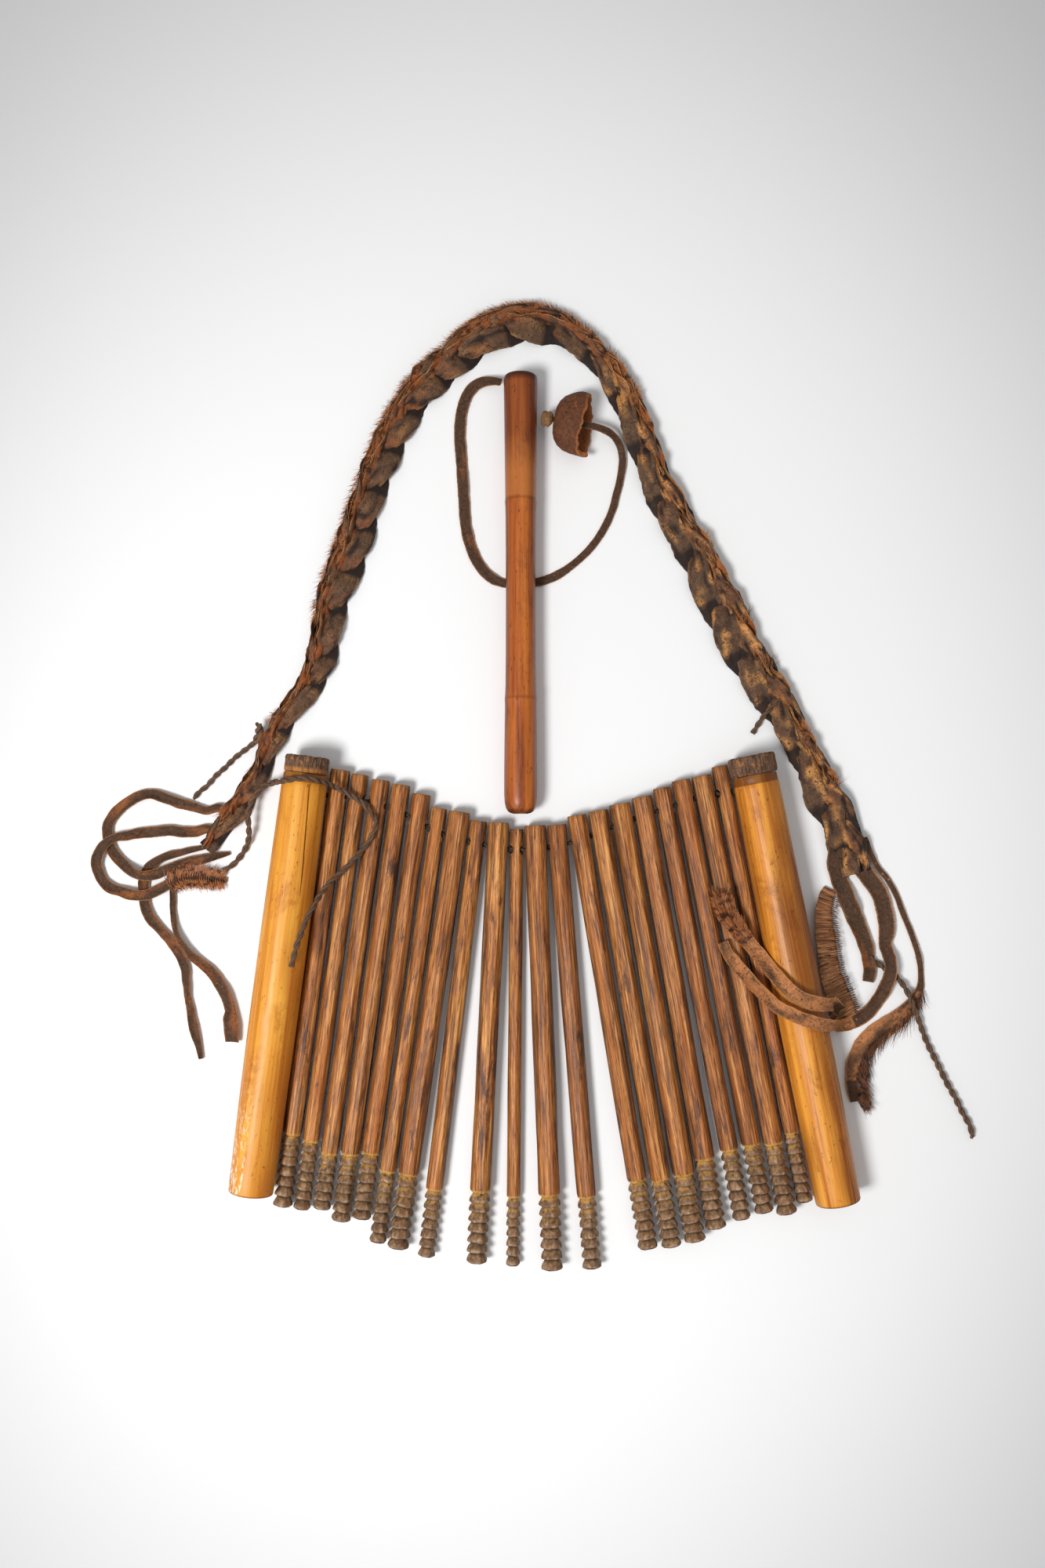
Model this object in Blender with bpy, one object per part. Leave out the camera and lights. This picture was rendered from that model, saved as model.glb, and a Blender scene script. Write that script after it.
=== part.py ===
"""Row of twenty whittled pipes on a cord, between two stoppered bamboo tubes, with a braided
hide strap, hide strips and cords, and a separate cased tube with its cap on a thong.

Standalone Blender 4.5 script. Metres, +Z up. The object lies flat on z = 0 and its pipes
run along Y, mouths towards +Y.
"""
import math

import bmesh
import bpy
from mathutils import Matrix, Vector

MM = 0.001
UP = Vector((0.0, 0.0, 1.0))
GAP = 0.3                       # clearance between neighbouring pieces, mm

# ---------------------------------------------------------------- driving sizes, in mm
# Each pipe: hole x, hole y, diameter, lean in degrees (foot to -X is positive),
# stub above the cord hole, whole length, whittled tail length, number of bell rings.
PIPES = [
    (-144.0, 19.3, 13.4, 7.6, 18.0, 306.0, 50.0, 7),
    (-130.3, 17.0, 12.0, 7.7, 17.0, 305.0, 47.0, 7),
    (-116.0, 13.2, 13.0, 7.9, 17.0, 301.0, 38.0, 6),
    (-102.0, 8.9, 13.4, 7.9, 18.0, 306.0, 46.0, 7),
    (-88.0, 1.4, 13.2, 8.1, 19.0, 298.0, 45.0, 7),
    (-75.2, -5.4, 11.8, 8.1, 16.0, 305.0, 49.0, 7),
    (-61.3, -10.4, 15.0, 8.1, 18.5, 306.0, 51.0, 7),
    (-47.3, -13.8, 12.2, 6.9, 15.5, 305.0, 46.0, 7),
    (-32.4, -17.0, 14.6, 2.9, 17.5, 306.0, 49.0, 7),
    (-19.2, -18.6, 9.8, 0.5, 14.5, 304.0, 47.0, 7),
    (-5.6, -18.0, 15.3, -2.2, 16.5, 308.5, 51.0, 7),
    (9.9, -15.6, 13.6, -4.6, 14.5, 309.0, 49.0, 7),
    (25.5, -11.2, 14.0, -9.4, 17.0, 305.0, 47.0, 7),
    (40.0, -5.6, 14.2, -9.6, 14.5, 307.0, 46.0, 7),
    (55.0, 0.2, 15.2, -9.8, 13.5, 308.0, 46.0, 7),
    (70.2, 5.6, 14.6, -9.8, 13.0, 304.0, 48.0, 7),
    (84.5, 10.4, 13.0, -10.6, 14.5, 305.0, 48.0, 7),
    (98.1, 14.8, 13.4, -11.0, 15.5, 306.0, 47.0, 7),
    (112.3, 18.8, 14.2, -11.1, 14.5, 310.0, 49.0, 7),
    (125.9, 21.2, 11.6, -11.1, 19.0, 309.0, 48.0, 7),
]
MOUTH_BORE = 0.55               # bore radius as a share of the pipe's radius
PIPE_HOLE_RADIUS = 3.6          # cross hole for the cord, less in a thin pipe

# Bamboo tubes: rim centre x and y, lean, length, lowest point of the wall at mid length.
TUBE_AXIS_Z = 16.8
TUBE_BORE = 12.8
TUBE_FOOT_WALL = 8.0
TUBE_PASSAGE_RADIUS = 3.7
TUBE_LEFT = {"rim": (-164.4, 34.0), "lean": 7.5, "length": 291.0, "side": 1.0,
             "passage_y": -13.0, "head": 12.0, "head_radius": 15.3}
TUBE_RIGHT = {"rim": (145.0, 33.0), "lean": -11.1, "length": 299.5, "side": -1.0,
              "passage_y": -12.0, "head": 13.6, "head_radius": 16.3}
SPIGOT = 8.5                    # length of a stopper inside its tube

CORD_RADIUS = 1.9
CORD_Z = 5.9

CASE_FOOT = (-16.3, 6.4)
CASE_LENGTH = 303.6
CASE_AXIS_Z = 12.5
CASE_BORE = 7.6
CAP_CENTRE = (20.0, 277.0, 12.7)
CAP_TURN = -10.0                # degrees, mouth turned from +X towards -Y
CAP_HALF = (22.4, 12.3)         # half width and half height of the squashed bowl

STRAP_HEIGHT = 9.0
STRAP = [                       # x, y, width
    (-231, -11, 12), (-219, 4, 16), (-208, 20, 16), (-199, 36, 14), (-192, 52, 14),
    (-183, 70, 16), (-172, 86, 18), (-161, 103, 20), (-155, 121, 22), (-152, 139, 22),
    (-148, 158, 24), (-140, 179, 26), (-133, 198, 25), (-128, 216, 24), (-122, 234, 24),
    (-114, 254, 23), (-104, 276, 23), (-91, 297, 24), (-75, 315, 25), (-56, 331, 26),
    (-37, 344, 27), (-16, 350, 27), (3, 348, 25), (20, 340, 21), (35, 328, 18),
    (48, 312, 19), (58, 294, 20), (66, 276, 22), (72, 259, 22), (79, 240, 22),
    (89, 219, 25), (101, 199, 25), (112, 179, 27), (122, 159, 30), (132, 138, 30),
    (142, 118, 29), (153, 100, 28), (167, 78, 25), (178, 57, 21), (188, 38, 24),
    (197, 20, 28), (207, 1, 27), (213, -15, 28), (215, -25, 24),
]

# Round cords, x, y, z. Each lies as it fell.
LEFT_KNOT_CORD = [
    (-198, 69, 11.5), (-198, 64, 8.0), (-201, 58, 4.5), (-207, 53, 2.6), (-216, 46, 2.4),
    (-223, 39, 2.4), (-230, 33, 2.4), (-236, 26, 2.4), (-241, 22, 2.4), (-245, 17, 2.4),
]
LEFT_KNOT_SIZES = [0.6, 1.9, 2.0, 1.1, 1.0, 1.0, 1.0, 1.0, 1.0, 1.0]
LEFT_TABLE_CORD = [
    (-190, 27, 12.0), (-194, 26, 11.5), (-198, 22, 11.5), (-203, 14, 12.0), (-205, 4, 12.0),
    (-205, -4, 10.0), (-206, -11, 6.0), (-209, -18, 2.6), (-214, -25, 2.4),
]
LEFT_OVER_CORD = [
    (-187, 28, 15), (-182.5, 28, 26.5), (-174, 29, 34.5), (-165, 30, 37), (-155.5, 29, 34.5),
    (-149, 27, 27), (-144.5, 25, 20.5), (-135, 20, 16.8), (-127, 15, 16.4), (-120, 8, 16.4),
    (-116, 0, 16.4), (-119, -9, 16.4), (-125, -18, 16.4), (-133, -27, 16.6), (-141, -35, 17.5),
    (-148, -42, 21), (-153, -49, 26), (-157, -57, 31), (-161, -65, 34), (-164, -73, 35.6),
    (-167, -81, 36.2), (-169, -89, 36.4), (-171, -97, 36.4),
]
RIGHT_TWISTED_CORD = [
    (228, -94, 2.6), (233, -98, 2.6), (239, -102, 2.4), (246, -107, 2.6), (252, -115, 5.0),
    (256, -124, 6.8), (260, -134, 5.0), (265, -146, 2.6), (270, -158, 2.4), (276, -170, 2.4),
    (282, -182, 2.4), (288, -193, 2.4), (293, -203, 2.4), (298, -212, 2.4), (300, -220, 2.4),
]
RIGHT_SHORT_CORD = [
    (166, 89, 12.4), (162, 84, 12.6), (157, 79, 12.0), (152, 73, 8.0), (149, 68, 3.6),
    (146, 63, 2.4),
]

# Flat hide strips, x, y, z, width and an optional roll in degrees.
LEFT_STRIP_UPPER = [
    (-227, 11, 1.2, 7), (-236, 9, 1.2, 7), (-244, 11, 1.2, 8), (-254, 14, 1.2, 9),
    (-263, 17, 1.2, 9), (-273, 20, 1.2, 9), (-282, 19, 1.2, 9), (-292, 14, 1.2, 9),
    (-300, 7, 1.2, 9), (-305, -1, 1.2, 9), (-305, -10, 1.2, 9), (-303, -18, 1.2, 9),
    (-297, -26, 1.2, 9), (-290, -32, 2.2, 9), (-282, -36, 3.6, 9), (-273, -36, 3.8, 9),
    (-264, -33, 3.6, 9), (-256, -30, 2.2, 9), (-247, -27, 1.2, 9), (-237, -25, 1.2, 8),
    (-228, -23, 1.2, 6), (-220, -21, 1.2, 3),
]
LEFT_STRIP_LOWER = [
    (-237, -4, 1.2, 8), (-244, -6, 1.2, 9), (-254, -6, 1.2, 9), (-264, -5, 1.2, 9),
    (-273, -6, 1.2, 9), (-283, -7, 1.3, 9), (-292, -9, 2.6, 8), (-299, -10, 3.8, 7),
    (-306, -14, 3.8, 8), (-311, -21, 3.4, 9), (-313, -29, 1.8, 9), (-310, -38, 1.2, 9),
    (-304, -45, 1.4, 9), (-295, -48, 2.4, 9), (-287, -50, 3.7, 9), (-278, -50, 3.8, 9),
    (-270, -47, 3.6, 9), (-263, -43, 3.8, 9), (-256, -40, 3.9, 9), (-248, -38, 3.0, 10),
    (-240, -38, 1.6, 10), (-231, -39, 1.2, 8), (-222, -40, 1.2, 4),
]
LEFT_STRIP_HANGING = [
    (-238, -17, 1.2, 4), (-245, -18.5, 1.2, 5), (-254, -20.5, 1.2, 6), (-263, -23, 1.2, 7),
    (-271, -27, 1.2, 8), (-277, -32, 1.2, 9), (-280, -40, 1.2, 9), (-280, -49, 1.2, 9),
    (-279, -58, 1.2, 9), (-275, -67, 1.2, 9), (-268, -75, 1.2, 8), (-261, -83, 1.2, 8),
    (-255, -92, 1.2, 8), (-251, -102, 1.2, 8), (-250, -112, 1.2, 7), (-249, -122, 1.2, 6),
    (-247, -133, 1.2, 7), (-245, -144, 1.2, 8), (-242, -155, 1.2, 6), (-240, -165, 1.2, 4),
]
LEFT_STRIP_THIN = [
    (-260, -44, 1.2, 5), (-260, -52, 1.2, 5), (-260, -60, 1.2, 5), (-259, -68, 1.5, 5),
    (-257, -76, 3.3, 5), (-253, -84, 3.6, 6), (-247, -92, 3.4, 7), (-240, -98, 1.8, 8),
    (-233, -104, 1.2, 9), (-227, -112, 1.2, 10), (-222, -121, 1.2, 10), (-219, -131, 1.2, 10),
    (-218, -142, 1.2, 10), (-218, -153, 1.2, 10),
]
RIGHT_STRIP_INNER = [
    (204, -30, 2.6, 10), (207, -40, 1.6, 11), (211, -50, 1.2, 11), (215, -60, 1.2, 11),
    (219, -70, 1.2, 10), (223, -80, 1.2, 9), (226, -88, 1.2, 7),
]
RIGHT_STRIP_OUTER = [
    (221, -31, 2.6, 10), (227, -38, 1.6, 10), (234, -48, 1.2, 10), (238, -60, 1.2, 10),
    (240, -73, 1.2, 10), (239, -85, 1.2, 9), (241, -95, 5.5, 9), (241, -104, 7.0, 9),
    (238, -115, 4.0, 10), (233, -124, 1.4, 10), (227, -131, 1.2, 10),
]
RIGHT_HAIR_STRIP = [
    (218, -136, 1.6, 12), (211, -131, 3.5, 14, 12), (206, -122, 5.5, 16, 24),
    (202, -112, 6.5, 17, 30), (199, -102, 7.0, 17, 32), (197, -92, 7.0, 17, 32),
    (196, -82, 6.5, 16, 30), (195, -72, 5.0, 14, 24), (195, -62, 3.5, 12, 16),
    (197, -53, 2.2, 10, 8), (200, -46, 1.4, 8),
]
RIGHT_FRINGE_STRIP = [
    (233, -30, 1.6, 4), (241, -40, 1.2, 4), (247, -51, 1.2, 4), (251, -62, 1.2, 4),
    (256, -74, 1.2, 4), (260, -85, 1.2, 4), (263, -96, 1.2, 4), (264, -107, 1.2, 4),
    (263, -116, 1.2, 6), (258, -126, 1.2, 9), (251, -134, 1.2, 12), (242, -141, 1.2, 14),
    (232, -148, 1.2, 15), (224, -157, 1.2, 15), (219, -167, 1.2, 14), (217, -177, 1.2, 12),
    (217, -187, 1.2, 10), (218, -195, 1.2, 7),
]
RIGHT_OVER_UPPER = [
    (198.5, -124, 20, 9), (194.5, -123.5, 27, 9), (186.5, -122.5, 34.5, 10), (176.5, -120, 37, 10),
    (167.5, -115, 37, 10), (158.5, -106, 34.5, 10), (152.5, -98, 28.5, 10), (147.5, -91, 22.5, 10),
    (142, -84, 18.5, 10), (137, -78, 17, 11), (132, -71, 16.7, 12), (127, -64, 16.7, 13),
    (123, -55, 16.7, 14), (121, -48, 16.7, 14),
]
RIGHT_OVER_LOWER = [
    (200.5, -139, 18, 8), (196, -138, 26, 8), (186.5, -136, 34.5, 9), (176.5, -133, 37, 9),
    (166.5, -129, 37, 9), (157.5, -124.5, 33.5, 9), (151.5, -119, 28, 9), (146.5, -114, 22.5, 9),
    (142, -109, 18.5, 9), (137, -103, 16.9, 9), (131, -96, 16.7, 9), (126, -89, 16.7, 8),
    (123, -82, 16.7, 7),
]
CASE_THONG = [
    (-30, 306, 10.0, 5), (-36, 308, 6.0, 6), (-43, 308.5, 2.2, 7), (-50, 305, 1.0, 7.5),
    (-55, 297, 0.9, 7.5), (-58, 286, 0.9, 7.5), (-59, 271, 0.9, 7.5), (-58, 256, 0.9, 7.5),
    (-57, 241, 0.9, 7.5), (-56, 226, 0.9, 7.5), (-55, 211, 0.9, 7.5), (-52, 196, 0.9, 7.5),
    (-46, 182, 0.9, 7.5), (-37, 172, 0.9, 7), (-27, 168, 0.9, 6), (-16, 168, 0.9, 6),
    (-4, 169, 0.9, 6), (8, 173, 0.9, 6), (20, 181, 0.9, 5), (31, 191, 0.9, 5),
    (40, 203, 0.9, 5), (47, 217, 0.9, 5), (51, 231, 0.9, 5), (54, 244, 1.0, 5),
    (55, 256, 2.0, 5), (52, 265, 5.0, 5), (47, 270, 9.0, 5), (40, 273, 12.0, 5),
]

# name: (colour, roughness, metallic)
LOOKS = {
    "pipe_wood": ((0.17, 0.075, 0.032, 1.0), 0.62, 0.0),
    "bamboo": ((0.42, 0.19, 0.045, 1.0), 0.35, 0.0),
    "stopper_wood": ((0.07, 0.045, 0.032, 1.0), 0.85, 0.0),
    "case_bamboo": ((0.21, 0.055, 0.022, 1.0), 0.30, 0.0),
    "cap_leather": ((0.08, 0.032, 0.022, 1.0), 0.80, 0.0),
    "hide": ((0.055, 0.035, 0.025, 1.0), 0.75, 0.0),
    "cord_fibre": ((0.06, 0.042, 0.030, 1.0), 0.85, 0.0),
}


def start_clean():
    for old in list(bpy.data.objects):
        bpy.data.objects.remove(old, do_unlink=True)


def make_materials():
    made = {}
    for name, (colour, roughness, metallic) in LOOKS.items():
        material = bpy.data.materials.new(name)
        material.use_nodes = True
        shader = material.node_tree.nodes["Principled BSDF"]
        shader.inputs["Base Color"].default_value = colour
        shader.inputs["Roughness"].default_value = roughness
        shader.inputs["Metallic"].default_value = metallic
        made[name] = material
    return made


def add_mesh(name, rings, look, looped=False):
    """Skin a run of equal rings of points, capped at both ends or joined into a loop."""
    mesh = bpy.data.meshes.new(name)
    work = bmesh.new()
    rows = [[work.verts.new(Vector(p) * MM) for p in ring] for ring in rings]
    pairs = list(zip(rows, rows[1:]))
    if looped:
        pairs.append((rows[-1], rows[0]))
    else:
        work.faces.new(rows[0])
        work.faces.new(rows[-1])
    for lower, upper in pairs:
        for k in range(len(lower)):
            after = (k + 1) % len(lower)
            work.faces.new((lower[k], lower[after], upper[after], upper[k]))
    bmesh.ops.recalc_face_normals(work, faces=work.faces)
    work.to_mesh(mesh)
    work.free()
    mesh.materials.append(MATERIALS[look])
    thing = bpy.data.objects.new(name, mesh)
    bpy.context.scene.collection.objects.link(thing)
    return thing


def turned(profile, sides, origin=(0.0, 0.0, 0.0)):
    """Rings round local Y. A profile point is its y and the radius to the ring's flats."""
    rings = []
    for y, flat_radius in profile:
        corner = flat_radius / math.cos(math.pi / sides)
        ring = []
        for k in range(sides):
            angle = 2.0 * math.pi * (k + 0.5) / sides
            point = Vector((corner * math.cos(angle), y, corner * math.sin(angle)))
            ring.append(point - Vector(origin))
        rings.append(ring)
    return rings


def lean_matrix(lean):
    """Turn about Z that sends the foot of a piece, local -Y, towards -X for a positive lean."""
    return Matrix.Rotation(math.radians(-lean), 4, "Z")


def place(thing, point, lean=0.0, parent=None):
    here = Matrix.Translation(Vector(point) * MM) @ lean_matrix(lean)
    thing.matrix_basis = here
    if parent:
        thing.parent = parent
        thing.matrix_parent_inverse = parent.matrix_basis.inverted()


def move_origin(thing, point, parent):
    """Give a piece that is already in place an origin at the point, and a parent."""
    offset = Vector(point) * MM
    thing.data.transform(Matrix.Translation(-offset))
    place(thing, point, 0.0, parent)


def cut(thing, name, point, direction, radius, length):
    """Cut a round hole through the piece, centred on the point and along the direction."""
    rings = turned([(-length / 2.0, radius), (length / 2.0, radius)], 10)
    cutter = add_mesh(name, rings, "pipe_wood")
    turn = Vector((0.0, 1.0, 0.0)).rotation_difference(Vector(direction)).to_matrix().to_4x4()
    cutter.matrix_basis = Matrix.Translation(Vector(point) * MM) @ turn
    cutter.hide_render = True
    cutter.display_type = "WIRE"
    hole = thing.modifiers.new(name, "BOOLEAN")
    hole.operation = "DIFFERENCE"
    hole.solver = "EXACT"
    hole.object = cutter


def round_cord(name, points, radius, look, sizes=None):
    """A round cord through the points, thicker where a knot is tied in it."""
    curve = bpy.data.curves.new(name, "CURVE")
    curve.dimensions = "3D"
    curve.bevel_depth = radius * MM
    curve.bevel_resolution = 2
    curve.use_fill_caps = True
    spline = curve.splines.new("POLY")
    spline.points.add(len(points) - 1)
    for k, point in enumerate(points):
        spline.points[k].co = (*(Vector(point) * MM), 1.0)
        spline.points[k].radius = sizes[k] if sizes else 1.0
    curve.materials.append(MATERIALS[look])
    thing = bpy.data.objects.new(name, curve)
    bpy.context.scene.collection.objects.link(thing)
    return thing


def along(points, k):
    """Direction of a run of points at one of them."""
    before = Vector(points[max(k - 1, 0)][:3])
    after = Vector(points[min(k + 1, len(points) - 1)][:3])
    return (after - before).normalized()


def flat_strip(name, points, thickness, look):
    """A flat strip of hide. A point is x, y, z, width and roll about the strip's own run."""
    rings = []
    for k, point in enumerate(points):
        run = along(points, k)
        side = UP.cross(run).normalized()
        roll = math.radians(point[4]) if len(point) > 4 else 0.0
        side = Matrix.Rotation(roll, 3, run) @ side
        face = run.cross(side).normalized()
        middle = Vector(point[:3])
        half = side * point[3] / 2.0
        lift = face * thickness / 2.0
        rings.append([middle - half - lift, middle + half - lift,
                      middle + half + lift, middle - half + lift])
    return add_mesh(name, rings, look)


def braided_strap():
    rings = []
    for k, (x, y, width) in enumerate(STRAP):
        flat_points = [(a, b, 0.0) for a, b, c in STRAP]
        side = UP.cross(along(flat_points, k)).normalized()
        section = [(-0.5, 0.35), (-0.38, 0.0), (0.38, 0.0), (0.5, 0.35), (0.36, 1.0), (-0.36, 1.0)]
        middle = Vector((x, y, 0.0))
        rings.append([middle + side * width * s + UP * STRAP_HEIGHT * h for s, h in section])
    return add_mesh("braided_strap", rings, "hide")


def pipe_profile(diameter, stub, length, tail, bells):
    """Outline of a pipe from its foot up to its mouth and down into the mouth bore."""
    radius = diameter / 2.0
    foot = stub - length
    pitch = tail / bells
    profile = []
    for k in range(bells):
        lip = foot + k * pitch
        profile.append((lip, radius * 0.95))
        profile.append((lip + pitch - 0.9, radius * 0.80))
    profile.append((foot + tail, radius))
    profile.append((stub - 1.5, radius))
    profile.append((stub, radius * 0.92))
    profile.append((stub - 0.2, radius * MOUTH_BORE))
    profile.append((6.0, radius * MOUTH_BORE))
    return profile


def make_pipe(number, cord_line):
    x, y, diameter, lean, stub, length, tail, bells = PIPES[number - 1]
    name = f"pipe_{number:02d}"
    radius = diameter / 2.0
    pipe = add_mesh(name, turned(pipe_profile(diameter, stub, length, tail, bells), 8), "pipe_wood")
    place(pipe, (x, y, radius), lean)
    middle = cord_line.index((x, y, CORD_Z))
    hole_radius = min(PIPE_HOLE_RADIUS, radius * 0.62)
    cut(pipe, name + "_cord_hole", (x, y, CORD_Z), along(cord_line, middle), hole_radius,
        diameter * 1.8)


def tube_point(tube, x, y, z=0.0):
    """Point in mm of a bamboo tube's own frame, whose origin is the centre of its rim."""
    turn = lean_matrix(tube["lean"])
    rim = Vector((*tube["rim"], TUBE_AXIS_Z))
    return rim + turn @ Vector((x, y, z))


def tube_hinge(tube):
    """Where the cord passes the inner wall: the tube swings about the upright line there."""
    return tube_point(tube, tube["side"] * 11.2, tube["passage_y"], -8.6)


def make_tube(word, tube):
    length = tube["length"]
    profile = [
        (-length, 14.6), (-length + 1.2, 15.3), (-length * 0.75, 16.2), (-length * 0.45, 16.5),
        (-length * 0.15, 15.9), (-4.0, 15.3), (-0.8, 15.2), (0.0, 14.7), (0.0, TUBE_BORE),
        (-length + TUBE_FOOT_WALL, TUBE_BORE),
    ]
    hinge = (tube["side"] * 11.2, tube["passage_y"], -8.6)
    body = add_mesh("bamboo_tube_" + word, turned(profile, 16, hinge), "bamboo")
    place(body, tube_hinge(tube), tube["lean"])
    inward = lean_matrix(tube["lean"]) @ Vector((1.0, 0.0, 0.0))
    cut(body, "tube_" + word + "_passage", tube_hinge(tube), inward, TUBE_PASSAGE_RADIUS, 14.0)
    head = [
        (-SPIGOT, 11.6), (-SPIGOT + 1.5, 12.4), (GAP, 12.4), (GAP, tube["head_radius"] * 0.96),
        (2.0, tube["head_radius"]), (tube["head"] * 0.6, tube["head_radius"] * 0.98),
        (tube["head"] - 1.2, tube["head_radius"]), (tube["head"], tube["head_radius"] * 0.93),
    ]
    stopper = add_mesh("stopper_" + word, turned(head, 16), "stopper_wood")
    place(stopper, tube_point(tube, 0.0, 0.0), tube["lean"], body)
    return body


def cord_route():
    """Route of the cord: knot in the left tube, through every pipe, knot in the right tube."""
    route = [tube_point(TUBE_LEFT, 1.0, -16.0, -7.4), tube_point(TUBE_LEFT, 4.0, -15.2, -7.3),
             tube_point(TUBE_LEFT, 7.4, -14.0, -8.0), tube_hinge(TUBE_LEFT)]
    holes = [(x, y, CORD_Z) for x, y, *rest in PIPES]
    for k, hole in enumerate(holes):
        route.append(hole)
        if k + 1 < len(holes):
            low = Vector(holes[max(k - 1, 0)])
            high = Vector(holes[min(k + 2, len(holes) - 1)])
            between = (Vector(hole) + Vector(holes[k + 1])) * 0.5625 - (low + high) * 0.0625
            route.append(tuple(between))
    route += [(131.3, 21.4, 6.2), tube_hinge(TUBE_RIGHT), tube_point(TUBE_RIGHT, -7.4, -13.2, -8.0),
              tube_point(TUBE_RIGHT, -4.0, -15.0, -7.3), tube_point(TUBE_RIGHT, -1.0, -16.2, -7.4)]
    return [tuple(p) for p in route]


def make_case():
    profile = [
        (0.0, 7.5), (1.6, 10.3), (4.5, 11.3), (20.0, 11.5), (76.0, 10.9), (80.0, 11.1),
        (88.0, 10.4), (150.0, 10.2), (208.0, 10.5), (216.0, 11.0), (222.0, 10.8), (262.0, 11.2),
        (298.0, 11.7), (301.5, 11.7), (CASE_LENGTH, 10.8), (CASE_LENGTH, CASE_BORE),
        (14.0, CASE_BORE),
    ]
    middle = (0.0, CASE_LENGTH / 2.0, 0.0)
    case = add_mesh("case_tube", turned(profile, 16, middle), "case_bamboo")
    place(case, (CASE_FOOT[0], CASE_FOOT[1] + middle[1], CASE_AXIS_Z))
    hole = (CASE_FOOT[0] - 9.6, 306.0 - 4.0, CASE_AXIS_Z - 1.0)
    cut(case, "case_thong_hole", hole, (1.0, 0.0, 0.0), 2.0, 8.0)
    return case


def make_cap(case):
    wide, high = CAP_HALF
    profile = [                 # x along the bowl from its back to its mouth, share of the half sizes
        (-13.4, 0.12), (-13.0, 0.40), (-10.6, 0.66), (-4.0, 0.90), (4.0, 0.98), (11.0, 1.0),
        (14.0, 0.97), (14.0, 0.84), (9.0, 0.85), (2.0, 0.82), (-5.0, 0.70), (-9.6, 0.42),
        (-10.6, 0.12),
    ]
    rings = []
    for x, share in profile:
        ring = []
        for k in range(16):
            angle = 2.0 * math.pi * (k + 0.5) / 16
            ring.append((x, wide * share * math.cos(angle), high * share * math.sin(angle)))
        rings.append(ring)
    cap = add_mesh("case_cap", rings, "cap_leather", looped=True)
    place(cap, CAP_CENTRE, -CAP_TURN, case)
    knot_profile = [(-4.1, 1.2), (-2.6, 3.3), (0.0, 4.2), (2.6, 3.4), (4.1, 1.5)]
    knot_rings = [[(y, x, z) for x, y, z in ring] for ring in turned(knot_profile, 8)]
    knot = add_mesh("cap_knot", knot_rings, "hide")
    back = lean_matrix(-CAP_TURN) @ Vector((-18.0, 0.0, 0.0))
    place(knot, Vector(CAP_CENTRE) + back, -CAP_TURN, case)


start_clean()
MATERIALS = make_materials()

CORD_LINE = cord_route()
KNOTTED = [0.7, 1.75, 1.0] + [1.0] * (len(CORD_LINE) - 6) + [1.0, 1.75, 0.7]
round_cord("stringing_cord", CORD_LINE, CORD_RADIUS, "cord_fibre", KNOTTED)
for pipe_number in range(1, len(PIPES) + 1):
    make_pipe(pipe_number, CORD_LINE)

tube_left = make_tube("left", TUBE_LEFT)
tube_right = make_tube("right", TUBE_RIGHT)
case_tube = make_case()
make_cap(case_tube)

braided_strap()
round_cord("left_knot_cord", LEFT_KNOT_CORD, 1.9, "cord_fibre", LEFT_KNOT_SIZES)
round_cord("left_table_cord", LEFT_TABLE_CORD, 2.1, "cord_fibre")
round_cord("right_twisted_cord", RIGHT_TWISTED_CORD, 2.1, "cord_fibre")
round_cord("right_short_cord", RIGHT_SHORT_CORD, 1.9, "cord_fibre")
flat_strip("left_strip_upper", LEFT_STRIP_UPPER, 1.8, "hide")
flat_strip("left_strip_lower", LEFT_STRIP_LOWER, 1.8, "hide")
flat_strip("left_strip_hanging", LEFT_STRIP_HANGING, 1.8, "hide")
flat_strip("left_strip_thin", LEFT_STRIP_THIN, 1.8, "hide")
flat_strip("right_strip_inner", RIGHT_STRIP_INNER, 1.8, "hide")
flat_strip("right_strip_outer", RIGHT_STRIP_OUTER, 1.8, "hide")
flat_strip("right_hair_strip", RIGHT_HAIR_STRIP, 1.8, "hide")
flat_strip("right_fringe_strip", RIGHT_FRINGE_STRIP, 1.8, "hide")

over_cord = round_cord("left_over_cord", LEFT_OVER_CORD, 2.1, "cord_fibre")
move_origin(over_cord, tube_hinge(TUBE_LEFT), tube_left)
over_upper = flat_strip("right_over_strip_upper", RIGHT_OVER_UPPER, 1.6, "hide")
move_origin(over_upper, tube_hinge(TUBE_RIGHT), tube_right)
over_lower = flat_strip("right_over_strip_lower", RIGHT_OVER_LOWER, 1.6, "hide")
move_origin(over_lower, tube_hinge(TUBE_RIGHT), tube_right)
thong = flat_strip("case_thong", CASE_THONG, 1.4, "hide")
move_origin(thong, (CASE_FOOT[0], CASE_FOOT[1] + CASE_LENGTH / 2.0, CASE_AXIS_Z), case_tube)
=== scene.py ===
"""Looks of the fan of pipes: whittled wood, bamboo, cane, plaited hide, strips, cords and hair.

Everything is in metres in the row frame. Tables below are in millimetres, like the part's.
"""

import math

import bmesh
import bpy
import numpy as np
from mathutils import Matrix, Vector, noise


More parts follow.
